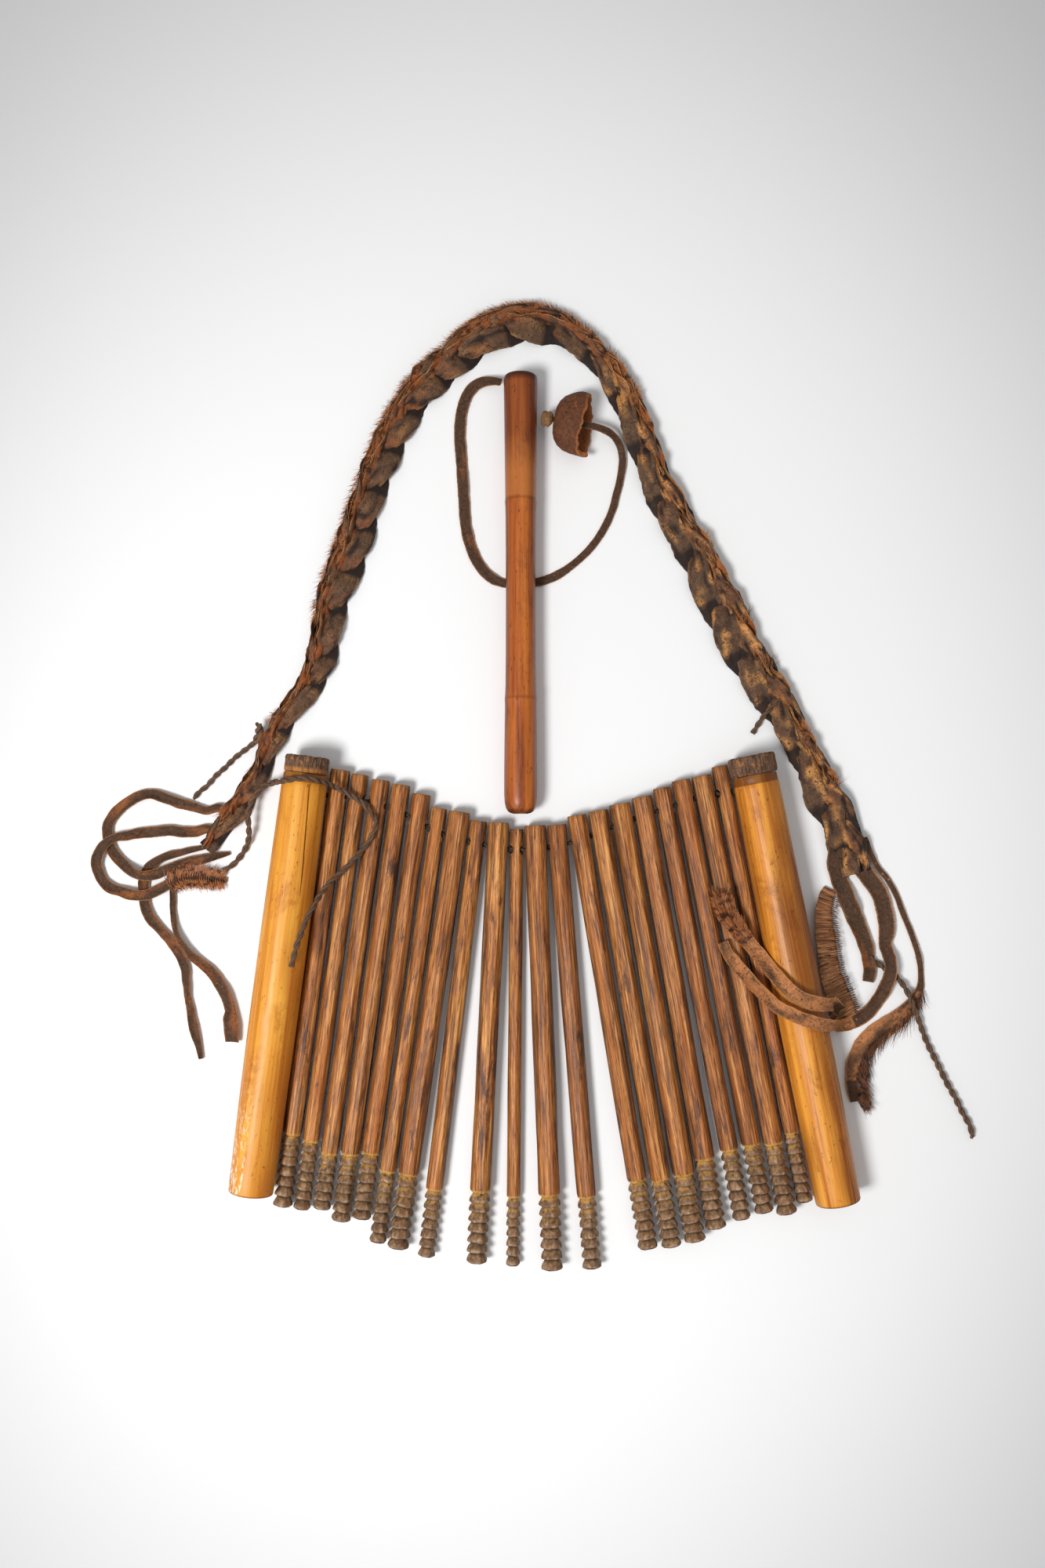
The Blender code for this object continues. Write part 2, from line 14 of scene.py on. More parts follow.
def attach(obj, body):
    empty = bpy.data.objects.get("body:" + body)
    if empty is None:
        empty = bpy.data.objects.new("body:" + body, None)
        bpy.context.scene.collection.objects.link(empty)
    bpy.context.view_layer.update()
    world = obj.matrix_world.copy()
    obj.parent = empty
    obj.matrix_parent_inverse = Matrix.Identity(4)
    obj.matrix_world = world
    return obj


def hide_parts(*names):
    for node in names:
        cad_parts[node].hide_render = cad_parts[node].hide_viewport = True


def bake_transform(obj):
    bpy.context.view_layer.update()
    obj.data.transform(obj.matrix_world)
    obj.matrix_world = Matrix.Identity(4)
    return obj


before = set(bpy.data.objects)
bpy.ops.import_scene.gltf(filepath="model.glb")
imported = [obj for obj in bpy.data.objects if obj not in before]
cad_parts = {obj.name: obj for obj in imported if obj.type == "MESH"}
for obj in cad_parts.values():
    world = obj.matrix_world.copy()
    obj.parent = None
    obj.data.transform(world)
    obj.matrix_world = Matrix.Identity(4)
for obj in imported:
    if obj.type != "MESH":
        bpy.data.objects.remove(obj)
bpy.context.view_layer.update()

MM = 0.001
TAU = 2.0 * math.pi
UP = np.array([0.0, 0.0, 1.0])
LOWEST = 0.12                   # least height of a cord or strip above the surface
ROOT = "cord_and_strap"

# Pipe: hole x, hole y, diameter, lean, stub above the hole, length, tail length, bell rings.
PIPES = [
    (-144.0, 19.3, 13.4, 7.6, 18.0, 306.0, 50.0, 7),
    (-130.3, 17.0, 12.0, 7.7, 17.0, 305.0, 47.0, 7),
    (-116.0, 13.2, 13.0, 7.9, 17.0, 301.0, 38.0, 6),
    (-102.0, 8.9, 13.4, 7.9, 18.0, 306.0, 46.0, 7),
    (-88.0, 1.4, 13.2, 8.1, 19.0, 298.0, 45.0, 7),
    (-75.2, -5.4, 11.8, 8.1, 16.0, 305.0, 49.0, 7),
    (-61.3, -10.4, 15.0, 8.1, 18.5, 306.0, 51.0, 7),
    (-47.3, -13.8, 12.2, 6.9, 15.5, 305.0, 46.0, 7),
    (-32.4, -17.0, 14.6, 2.9, 17.5, 306.0, 49.0, 7),
    (-19.2, -18.6, 9.8, 0.5, 14.5, 304.0, 47.0, 7),
    (-5.6, -18.0, 15.3, -2.2, 16.5, 308.5, 51.0, 7),
    (9.9, -15.6, 13.6, -4.6, 14.5, 309.0, 49.0, 7),
    (25.5, -11.2, 14.0, -9.4, 17.0, 305.0, 47.0, 7),
    (40.0, -5.6, 14.2, -9.6, 14.5, 307.0, 46.0, 7),
    (55.0, 0.2, 15.2, -9.8, 13.5, 308.0, 46.0, 7),
    (70.2, 5.6, 14.6, -9.8, 13.0, 304.0, 48.0, 7),
    (84.5, 10.4, 13.0, -10.6, 14.5, 305.0, 48.0, 7),
    (98.1, 14.8, 13.4, -11.0, 15.5, 306.0, 47.0, 7),
    (112.3, 18.8, 14.2, -11.1, 14.5, 310.0, 49.0, 7),
    (125.9, 21.2, 11.6, -11.1, 19.0, 309.0, 48.0, 7),
]
CORD_Z = 5.9
TUBE_Z = 16.8
TUBE_RADIUS = 15.3              # at its ends; it swells towards its middle
TUBE_SWELL = 1.2
TUBE_BORE = 12.8
TUBES = {
    "left": {"rim": (-164.4, 34.0), "lean": 7.5, "length": 291.0, "head": 12.0,
             "head_radius": 15.3, "side": 1.0, "passage_y": -13.0},
    "right": {"rim": (145.0, 33.0), "lean": -11.1, "length": 299.5, "head": 13.6,
              "head_radius": 16.3, "side": -1.0, "passage_y": -12.0},
}
CASE_FOOT = (-16.3, 6.4, 12.5)
CAP_CENTRE = (20.0, 277.0, 12.7)
CAP_TURN = -10.0
CAP_RADII = (22.2, 12.1)        # across and up: the bowl is squashed

STRAP = [                       # x, y, width
    (-231, -11, 12), (-219, 4, 16), (-208, 20, 16), (-199, 36, 14), (-192, 52, 14),
    (-183, 70, 16), (-172, 86, 18), (-161, 103, 20), (-155, 121, 22), (-152, 139, 22),
    (-148, 158, 24), (-140, 179, 26), (-133, 198, 25), (-128, 216, 24), (-122, 234, 24),
    (-114, 254, 23), (-104, 276, 23), (-91, 297, 24), (-75, 315, 25), (-56, 331, 26),
    (-37, 344, 27), (-16, 350, 27), (3, 348, 25), (20, 340, 21), (35, 328, 18),
    (48, 312, 19), (58, 294, 20), (66, 276, 22), (72, 259, 22), (79, 240, 22),
    (89, 219, 25), (101, 199, 25), (112, 179, 27), (122, 159, 30), (132, 138, 30),
    (142, 118, 29), (153, 100, 28), (167, 78, 25), (178, 57, 21), (188, 38, 24),
    (197, 20, 28), (207, 1, 27), (213, -15, 28), (215, -25, 24),
]

# Round cords: x, y, z.
LEFT_KNOT_CORD = [
    (-198, 69, 11.5), (-198, 64, 8.0), (-201, 58, 4.5), (-207, 53, 2.6), (-216, 46, 2.4),
    (-223, 39, 2.4), (-230, 33, 2.4), (-236, 26, 2.4), (-241, 22, 2.4), (-245, 17, 2.4),
]
LEFT_CORD = [
    (-214, -25, 2.4), (-209, -18, 2.6), (-206, -11, 6.0), (-205, -4, 10.0), (-205, 4, 12.0),
    (-203, 14, 12.0), (-198, 22, 11.5), (-194, 26, 11.5), (-190, 27, 12.0),
    (-187, 28, 15), (-182.5, 28, 26.5), (-174, 29, 34.5), (-165, 30, 37), (-155.5, 29, 34.5),
    (-149, 27, 27), (-144.5, 25, 20.5), (-135, 20, 16.8), (-127, 15, 16.4), (-120, 8, 16.4),
    (-116, 0, 16.4), (-119, -9, 16.4), (-125, -18, 16.4), (-133, -27, 16.6), (-141, -35, 17.5),
    (-148, -42, 21), (-153, -49, 26), (-157, -57, 31), (-161, -65, 34), (-164, -73, 35.6),
    (-167, -81, 36.2), (-169, -89, 36.4), (-171, -97, 36.4),
]
RIGHT_TWISTED_CORD = [
    (228, -94, 2.6), (233, -98, 2.6), (239, -102, 2.4), (246, -107, 2.6), (252, -115, 5.0),
    (256, -124, 6.8), (260, -134, 5.0), (265, -146, 2.6), (270, -158, 2.4), (276, -170, 2.4),
    (282, -182, 2.4), (288, -193, 2.4), (293, -203, 2.4), (298, -212, 2.4), (300, -220, 2.4),
]
RIGHT_SHORT_CORD = [
    (166, 89, 5.0), (162, 84, 5.5), (157, 79, 5.5), (152, 73, 4.6), (149, 68, 3.2),
    (146, 63, 2.4),
]

# Flat hide strips: x, y, z, width and an optional roll in degrees.
LEFT_STRIP_UPPER = [
    (-227, 11, 1.2, 7), (-236, 9, 1.2, 7), (-244, 11, 1.2, 8), (-254, 14, 1.2, 9),
    (-263, 17, 1.2, 9), (-273, 20, 1.2, 9), (-282, 19, 1.2, 9), (-292, 14, 1.2, 9),
    (-300, 7, 1.2, 9), (-305, -1, 1.2, 9), (-305, -10, 1.2, 9), (-303, -18, 1.2, 9),
    (-297, -26, 1.2, 9), (-290, -32, 2.2, 9), (-282, -36, 3.6, 9), (-273, -36, 3.8, 9),
    (-264, -33, 3.6, 9), (-256, -30, 2.2, 9), (-247, -27, 1.2, 9), (-237, -25, 1.2, 8),
    (-228, -23, 1.2, 6), (-220, -21, 1.2, 3),
]
LEFT_STRIP_LOWER = [
    (-237, -4, 1.2, 8), (-244, -6, 1.2, 9), (-254, -6, 1.2, 9), (-264, -5, 1.2, 9),
    (-273, -6, 1.2, 9), (-283, -7, 1.3, 9), (-292, -9, 2.6, 8), (-299, -10, 3.8, 7),
    (-306, -14, 3.8, 8), (-311, -21, 3.4, 9), (-313, -29, 1.8, 9), (-310, -38, 1.2, 9),
    (-304, -45, 1.4, 9), (-295, -48, 2.4, 9), (-287, -50, 3.7, 9), (-278, -50, 3.8, 9),
    (-270, -47, 3.6, 9), (-263, -43, 3.8, 9), (-256, -40, 3.9, 9), (-248, -38, 3.0, 10),
    (-240, -38, 1.6, 10), (-231, -39, 1.2, 8), (-222, -40, 1.2, 4),
]
LEFT_STRIP_HANGING = [
    (-238, -17, 1.2, 4), (-245, -18.5, 1.2, 5), (-254, -20.5, 1.2, 6), (-263, -23, 1.2, 7),
    (-271, -27, 1.2, 8), (-277, -32, 1.2, 9), (-280, -40, 1.2, 9), (-280, -49, 1.2, 9),
    (-279, -58, 1.2, 9), (-275, -67, 1.2, 9), (-268, -75, 1.2, 8), (-261, -83, 1.2, 8),
    (-255, -92, 1.2, 8), (-251, -102, 1.2, 8), (-250, -112, 1.2, 7), (-249, -122, 1.2, 6),
    (-247, -133, 1.2, 7), (-245, -144, 1.2, 8), (-242, -155, 1.2, 6), (-240, -165, 1.2, 4),
]
LEFT_STRIP_THIN = [
    (-260, -44, 1.2, 5), (-260, -52, 1.2, 5), (-260, -60, 1.2, 5), (-259, -68, 1.5, 5),
    (-257, -76, 3.3, 5), (-253, -84, 3.6, 6), (-247, -92, 3.4, 7), (-240, -98, 1.8, 8),
    (-233, -104, 1.2, 9), (-227, -112, 1.2, 10), (-222, -121, 1.2, 10), (-219, -131, 1.8, 10),
    (-219, -137, 3.0, 12.5), (-218, -145, 2.2, 13), (-218, -153, 1.4, 12),
]
RIGHT_STRIP_INNER = [
    (204, -30, 2.6, 12), (207, -40, 1.6, 12), (211, -50, 1.2, 12), (215, -60, 1.2, 12),
    (219, -70, 1.2, 12), (223, -80, 1.2, 11), (226, -88, 1.2, 10),
]
RIGHT_STRIP_OUTER = [
    (221, -31, 2.6, 11.5), (227, -38, 1.6, 12), (234, -48, 1.2, 12), (238, -60, 1.2, 12),
    (240, -73, 1.2, 11.5), (239, -85, 1.2, 9), (241, -95, 5.5, 9), (241, -104, 7.0, 9),
    (238, -115, 4.0, 10), (233, -124, 1.4, 10), (227, -131, 1.2, 10),
]
RIGHT_HAIR_STRIP = [
    (213, -141, 1.4, 15), (208, -131, 3.5, 20, 12), (205, -122, 5.5, 20, 22),
    (201, -112, 6.5, 19, 26), (198, -102, 7.0, 18, 28), (196.5, -92, 7.0, 18, 28),
    (195.5, -82, 6.5, 17, 26), (195, -72, 5.0, 15, 22), (195, -62, 3.5, 13, 16),
    (197, -53, 2.2, 11, 8), (200, -46, 1.4, 9),
]
RIGHT_FRINGE_STRIP = [
    (233, -30, 1.6, 4), (241, -40, 1.2, 4), (247, -51, 1.2, 4), (251, -62, 1.2, 4),
    (256, -74, 1.2, 4), (260, -85, 1.2, 4), (263, -96, 1.2, 4), (264, -107, 1.2, 4),
    (263, -116, 1.2, 6), (258, -126, 1.2, 9), (251, -134, 1.2, 12), (242, -141, 1.2, 14),
    (232, -148, 1.2, 15), (224, -157, 1.2, 15), (219, -167, 1.2, 14), (217, -177, 1.2, 12),
    (217, -187, 1.2, 10), (218, -195, 1.2, 7),
]
RIGHT_OVER_UPPER = [
    (198.5, -124, 20, 9), (194.5, -123.5, 27, 9), (186.5, -122.5, 34.5, 10), (176.5, -120, 37, 10),
    (167.5, -115, 37, 10), (158.5, -106, 34.5, 10), (152.5, -98, 28.5, 10), (147.5, -91, 22.5, 10),
    (142, -84, 18.5, 10), (137, -78, 17, 11), (132, -71, 16.7, 12), (127, -64, 16.7, 13),
    (123, -55, 16.7, 14), (121, -48, 16.7, 14),
]
RIGHT_OVER_LOWER = [
    (200.5, -139, 18, 8), (196, -138, 26, 8), (186.5, -136, 34.5, 9), (176.5, -133, 37, 9),
    (166.5, -129, 37, 9), (157.5, -124.5, 33.5, 9), (151.5, -119, 28, 9), (146.5, -114, 22.5, 9),
    (142, -109, 18.5, 9), (137, -103, 16.9, 9), (131, -96, 16.7, 9), (126, -89, 16.7, 8),
    (123, -82, 16.7, 7),
]
CASE_THONG = [
    (-30, 306, 10.0, 5), (-36, 308, 6.0, 6), (-43, 308.5, 2.2, 7), (-50, 305, 1.0, 7.5),
    (-55, 297, 0.9, 7.5), (-58, 286, 0.9, 7.5), (-59, 271, 0.9, 7.5), (-58, 256, 0.9, 7.5),
    (-57, 241, 0.9, 7.5), (-56, 226, 0.9, 7.5), (-55, 211, 0.9, 7.5), (-52, 196, 0.9, 7.5),
    (-46, 182, 0.9, 7.5), (-37, 172, 0.9, 7), (-27, 168, 0.9, 6), (-16, 168, 0.9, 6),
    (-4, 169, 0.9, 6), (8, 173, 0.9, 6), (20, 181, 0.9, 5), (31, 191, 0.9, 5),
    (40, 203, 0.9, 5), (47, 217, 0.9, 5), (51, 231, 0.9, 5), (54, 244, 1.0, 5),
    (55, 256, 2.0, 5), (52, 265, 5.0, 5), (47, 270, 9.0, 5), (40, 273, 12.0, 5),
    (32, 275, 12.6, 4.5), (22, 276.5, 12.7, 4), (12, 278.5, 12.7, 3.6), (4.5, 279.6, 12.7, 3.4),
]


# ---------------------------------------------------------------- camera, light and floor
def make_camera():
    """Straight down from 0.95 m above the surface."""
    data = bpy.data.cameras.new("camera")
    data.sensor_width = 36.0
    data.lens = 31.09
    data.shift_y = 0.03
    data.clip_start = 0.01
    camera = bpy.data.objects.new("camera", data)
    camera.location = (-0.015, -0.0055, 0.95)
    bpy.context.scene.collection.objects.link(camera)
    bpy.context.scene.camera = camera


def area_light(name, place, size, power):
    """A disk light that shines on the middle of the row."""
    data = bpy.data.lights.new(name, "AREA")
    data.shape = "DISK"
    data.size = size
    data.energy = power
    lamp = bpy.data.objects.new(name, data)
    lamp.location = place
    lamp.rotation_euler = (-Vector(place)).to_track_quat("-Z", "Y").to_euler()
    bpy.context.scene.collection.objects.link(lamp)


def make_studio():
    area_light("key", (-0.80, -0.50, 1.55), 0.55, 26.0)
    area_light("fill", (0.3, 0.3, 1.8), 1.6, 2.0)
    world = bpy.data.worlds.new("studio")
    world.use_nodes = True
    sky = world.node_tree.nodes["Background"].inputs
    sky["Color"].default_value = (1.0, 1.0, 1.0, 1.0)
    sky["Strength"].default_value = 0.36
    bpy.context.scene.world = world
    bpy.context.scene.view_settings.view_transform = "Standard"


# ---------------------------------------------------------------- materials
def tone(colour, share):
    return tuple(c * share for c in colour)


class Shade:
    """A procedural material, put together from small steps."""

    def __init__(self, name, roughness=0.6, gloss=0.28):
        self.material = bpy.data.materials.new(name)
        self.material.use_nodes = True
        self.tree = self.material.node_tree
        self.shader = self.tree.nodes["Principled BSDF"]
        self.shader.inputs["Roughness"].default_value = roughness
        self.shader.inputs["Specular IOR Level"].default_value = gloss

    def add(self, kind, **inputs):
        node = self.tree.nodes.new(kind)
        for name, value in inputs.items():
            self.put(node.inputs[name.replace("_", " ")], value)
        return node

    def put(self, socket, value):
        if isinstance(value, bpy.types.NodeSocket):
            self.tree.links.new(value, socket)
        else:
            socket.default_value = value

    def where(self, scale, run=False):
        """Coordinates of the piece, or of its own run and width, in metres times a scale."""
        node = self.add("ShaderNodeTexCoord")
        out = node.outputs["UV"] if run else node.outputs["Object"]
        return self.add("ShaderNodeMapping", Vector=out, Scale=scale).outputs["Vector"]

    def noise(self, scale, detail=4.0, rough=0.55, distortion=0.0, seed=None, run=False):
        node = self.add("ShaderNodeTexNoise", Vector=self.where(scale, run), Scale=1.0,
                        Detail=detail, Roughness=rough, Distortion=distortion)
        if seed is not None:
            node.noise_dimensions = "4D"
            self.put(node.inputs["W"], seed)
        return node.outputs["Fac"]

    def ramp(self, value, stops):
        node = self.add("ShaderNodeValToRGB", Fac=value)
        points = node.color_ramp.elements
        while len(points) < len(stops):
            points.new(0.5)
        for point, (at, colour) in zip(points, stops):
            point.position = at
            point.color = (*colour, 1.0)
        return node.outputs["Color"]

    def level(self, value, low, high):
        """0 at low, 1 at high, smooth between. Low may be the larger one."""
        node = self.add("ShaderNodeMapRange", Value=value, From_Min=low, From_Max=high)
        node.interpolation_type = "SMOOTHSTEP"
        return node.outputs["Result"]

    def mix(self, amount, first, second):
        node = self.tree.nodes.new("ShaderNodeMix")
        node.data_type = "RGBA"
        self.put(node.inputs["Factor"], amount)
        for socket, value in ((node.inputs[6], first), (node.inputs[7], second)):
            self.put(socket, (*value, 1.0) if isinstance(value, tuple) else value)
        return node.outputs[2]

    def sum(self, first, second, how="ADD"):
        node = self.tree.nodes.new("ShaderNodeMath")
        node.operation = how
        self.put(node.inputs[0], first)
        self.put(node.inputs[1], second)
        return node.outputs[0]

    def times(self, first, second):
        return self.sum(first, second, "MULTIPLY")

    def over(self, under, colour, value, low, high, share=1.0):
        """Under, with a share of the colour laid on it where value goes from low to high."""
        return self.mix(self.times(self.level(value, low, high), share), under, colour)

    def marked(self, name):
        node = self.tree.nodes.new("ShaderNodeAttribute")
        node.attribute_name = name
        return node.outputs["Fac"]

    def finish(self, colour, height=None, depth=0.0004, strength=0.6, roughness=None):
        self.put(self.shader.inputs["Base Color"], colour)
        if roughness is not None:
            self.put(self.shader.inputs["Roughness"], roughness)
        if height is not None:
            bump = self.add("ShaderNodeBump", Height=height, Strength=strength, Distance=depth)
            self.put(self.shader.inputs["Normal"], bump.outputs["Normal"])
        return self.material


def whittled_wood(name):
    """Brown whittled wood with its grain along local Y, orange streaks and dark, greasy patches.

    Its marks are seed, which moves the pattern, gold, cut, tail and dark, which is painted shade.
    """
    shade = Shade(name, gloss=0.32)
    seed = shade.marked("seed")
    grain = shade.noise((760.0, 26.0, 760.0), 4.0, 0.66, 0.05, seed)
    streak = shade.noise((240.0, 9.0, 240.0), 4.0, 0.60, 0.20, seed)
    patch = shade.noise((120.0, 20.0, 120.0), 6.0, 0.72, 0.5, seed)
    pores = shade.noise((1500.0, 70.0, 1500.0), 3.0, 0.6, 0.0, seed)
    brown = shade.ramp(grain, [(0.33, (0.090, 0.026, 0.009)), (0.45, (0.26, 0.080, 0.020)),
                               (0.55, (0.44, 0.155, 0.042)), (0.68, (0.70, 0.32, 0.105))])
    gold = shade.ramp(grain, [(0.33, (0.20, 0.060, 0.012)), (0.45, (0.46, 0.165, 0.032)),
                              (0.55, (0.72, 0.300, 0.066)), (0.68, (0.92, 0.52, 0.16))])
    wood = shade.over(brown, gold, patch, 0.36, 0.60, shade.marked("gold"))
    wood = shade.over(wood, (0.42, 0.110, 0.014), streak, 0.52, 0.64, 0.6)
    wood = shade.over(wood, (0.090, 0.034, 0.015), streak, 0.45, 0.33, 0.7)
    wood = shade.over(wood, (0.19, 0.090, 0.045), patch, 0.56, 0.66, 0.55)
    wood = shade.over(wood, (0.060, 0.028, 0.018), patch, 0.46, 0.35, 0.88)
    wood = shade.over(wood, (0.060, 0.021, 0.009), pores, 0.55, 0.62, 0.75)
    fresh = shade.noise((420.0, 300.0, 420.0), 3.0, 0.55, 0.0, seed)
    weathered = shade.ramp(fresh, [(0.30, (0.12, 0.062, 0.033)), (0.50, (0.26, 0.148, 0.080)),
                                   (0.70, (0.52, 0.32, 0.170))])
    weathered = shade.over(weathered, (0.26, 0.095, 0.030), streak, 0.52, 0.64, 0.6)
    wood = shade.mix(shade.marked("tail"), wood, weathered)
    wood = shade.over(wood, (0.78, 0.42, 0.08), fresh, 0.34, 0.52, shade.marked("cut"))
    # painted shade: the dark mark darkens the pipes' sides, the bell necks and the bore to near
    # black
    wood = shade.mix(shade.marked("dark"), wood, (0.030, 0.014, 0.009))
    height = shade.sum(grain, shade.times(streak, 0.8))
    height = shade.sum(height, shade.times(pores, 0.5), "SUBTRACT")
    rough = shade.sum(shade.times(grain, 0.3), 0.32)
    return shade.finish(wood, height, 0.0005, 0.9, rough)


def bamboo_skin(name, seed, pale, mid, deep, rough, band=None):
    """Smooth cane skin: fine lengthwise streaks, dark flecks, and a deeper colour, partly painted
    shade on the sides.
    """
    shade = Shade(name)
    shade.shader.inputs["Coat Weight"].default_value = 0.14
    shade.shader.inputs["Coat Roughness"].default_value = 0.30
    fine = shade.noise((1100.0, 7.0, 1100.0), 5.0, 0.7, 0.0, seed)
    broad = shade.noise((150.0, 5.0, 150.0), 5.0, 0.62, 0.6, seed)
    cloud = shade.noise((42.0, 22.0, 42.0), 6.0, 0.68, 1.0, seed)
    flecks = shade.noise((480.0, 190.0, 480.0), 4.0, 0.75, 0.5, seed)
    skin = shade.ramp(broad, [(0.30, deep), (0.47, mid), (0.62, pale)])
    skin = shade.over(skin, deep, cloud, 0.52, 0.70, 0.75)
    # the deep mark: painted shade on the sides and a painted shadow of the strips, mixed with real
    # darker tone and the case's smoked top
    skin = shade.mix(shade.times(shade.marked("deep"), 0.85), skin, deep)
    skin = shade.over(skin, tone(pale, 1.25), fine, 0.50, 0.72, 0.45)
    skin = shade.over(skin, tone(deep, 0.55), fine, 0.45, 0.28, 0.55)
    skin = shade.over(skin, tone(deep, 0.35), flecks, 0.58, 0.68, 0.80)
    # pale scuffs, and on the left tube a painted highlight
    skin = shade.over(skin, (0.92, 0.78, 0.58), flecks, 0.50, 0.60, shade.marked("scuff_and_highlight"))
    if band:
        skin = shade.mix(shade.marked("band"), skin, band)
    # edge: darker cut ends and nodes, and painted shade inside the bores
    skin = shade.mix(shade.marked("edge"), skin, tone(deep, 0.45))
    # painted shade: the dark mark darkens the bores and the left tube's crack; it also darkens the
    # case's foot end
    skin = shade.mix(shade.marked("dark"), skin, (0.012, 0.007, 0.005))
    height = shade.sum(fine, shade.times(flecks, 0.5))
    roughness = shade.sum(shade.times(cloud, 0.40), rough)
    return shade.finish(skin, height, 0.00018, 0.4, roughness)


def rough_wood(name):
    """Dark fibrous wood with orange flecks."""
    shade = Shade(name, 0.85)
    fibre = shade.noise((900.0, 120.0, 900.0), 6.0, 0.72, 0.8)
    patch = shade.noise((260.0, 190.0, 260.0), 5.0, 0.7, 1.0)
    wood = shade.ramp(fibre, [(0.32, (0.025, 0.013, 0.008)), (0.48, (0.12, 0.062, 0.035)),
                              (0.62, (0.26, 0.14, 0.08)), (0.78, (0.42, 0.25, 0.15))])
    wood = shade.over(wood, (0.46, 0.19, 0.055), patch, 0.56, 0.66)
    wood = shade.over(wood, (0.045, 0.026, 0.018), patch, 0.42, 0.30)
    wood = shade.mix(shade.marked("cut"), wood, (0.55, 0.22, 0.05))
    return shade.finish(wood, shade.sum(fibre, patch), 0.0009, 0.9)


def hide_skin(name, base, worn, red, amount, tan=None):
    """Greasy hide: brown skin, wrinkles, worn orange patches and pale scuffs at its edges.

    Tan names a mark that says where the worn patches are, in place of the scattered ones.
    """
    shade = Shade(name, 0.6)
    wrinkle = shade.noise((330.0, 330.0, 330.0), 6.0, 0.72, 1.4)
    fine = shade.noise((1500.0, 1500.0, 1500.0), 4.0, 0.6)
    patch = shade.noise((120.0, 120.0, 120.0), 5.0, 0.65, 1.3)
    skin = shade.ramp(wrinkle, [(0.30, tone(base, 0.30)), (0.50, base), (0.72, tone(base, 1.8))])
    skin = shade.over(skin, tone(base, 2.2), fine, 0.56, 0.72)
    if tan:
        skin = shade.over(skin, worn, wrinkle, 0.38, 0.53, shade.marked(tan))
    else:
        skin = shade.over(skin, worn, patch, 0.60 - amount, 0.70 - amount, 0.85)
    skin = shade.over(skin, tone(base, 0.30), patch, 0.39, 0.29)
    scuffed = tuple(min(1.0, c) for c in tone(worn, 1.5))
    skin = shade.over(skin, scuffed, fine, 0.30, 0.58, shade.marked("edge"))
    skin = shade.over(skin, red, wrinkle, 0.30, 0.56, shade.marked("inside"))
    # the dark mark: painted shade between and under the strap's strands; on the strap's folds it
    # gives random dark patches
    skin = shade.mix(shade.marked("dark"), skin, (0.016, 0.009, 0.007))
    height = shade.sum(wrinkle, shade.times(fine, 0.35))
    rough = shade.sum(shade.times(wrinkle, 0.4), 0.36)
    return shade.finish(skin, height, 0.0010, 0.8, rough)


def combed_pelt(name, dark, mid, light):
    """Short hair that lies across the strip it grows on, in clumps with dark gaps."""
    shade = Shade(name, 0.5)
    comb = shade.noise((1000.0, 60.0, 1.0), 5.0, 0.70, 1.0, run=True)
    clump = shade.noise((200.0, 60.0, 1.0), 4.0, 0.62, 1.2, run=True)
    pelt = shade.ramp(comb, [(0.34, dark), (0.50, mid), (0.68, light)])
    pelt = shade.over(pelt, dark, clump, 0.47, 0.35)
    return shade.finish(pelt, shade.sum(comb, clump), 0.0014, 0.9)


def cord_fibre(name, base):
    """Twisted fibre: fine lines that run with the ply, lighter where it has rubbed."""
    shade = Shade(name, 0.75)
    line = shade.noise((60.0, 2600.0, 1.0), 4.0, 0.6, run=True)
    rub = shade.noise((520.0, 520.0, 520.0), 4.0, 0.65)
    fibre = shade.ramp(line, [(0.30, tone(base, 0.4)), (0.55, base), (0.78, tone(base, 2.3))])
    fibre = shade.over(fibre, tone(base, 2.0), rub, 0.56, 0.72)
    return shade.finish(fibre, line, 0.0003, 0.8)


def hair_fibre(name, root, tip):
    """Hair that goes from its root's colour to its tip's, with darker clumps."""
    shade = Shade(name, 0.45)
    clump = shade.noise((240.0, 240.0, 240.0), 2.0)
    colour = shade.ramp(shade.marked("along"), [(0.0, root), (1.0, tip)])
    return shade.finish(shade.over(colour, tone(root, 0.35), clump, 0.45, 0.65))


# ---------------------------------------------------------------- shape helpers
def clamp(value, low=0.0, high=1.0):
    return min(high, max(low, value))


def wave(*place):
    """Smooth noise between -1 and 1."""
    return noise.noise(Vector(place))


def circle(around):
    """Angle, cosine and sine at even steps round a circle."""
    return [(angle, math.cos(angle), math.sin(angle)) for angle in np.arange(around) * TAU / around]


def into_scene(name, mesh, material):
    mesh.materials.append(material)
    thing = bpy.data.objects.new(name, mesh)
    bpy.context.scene.collection.objects.link(thing)
    return thing


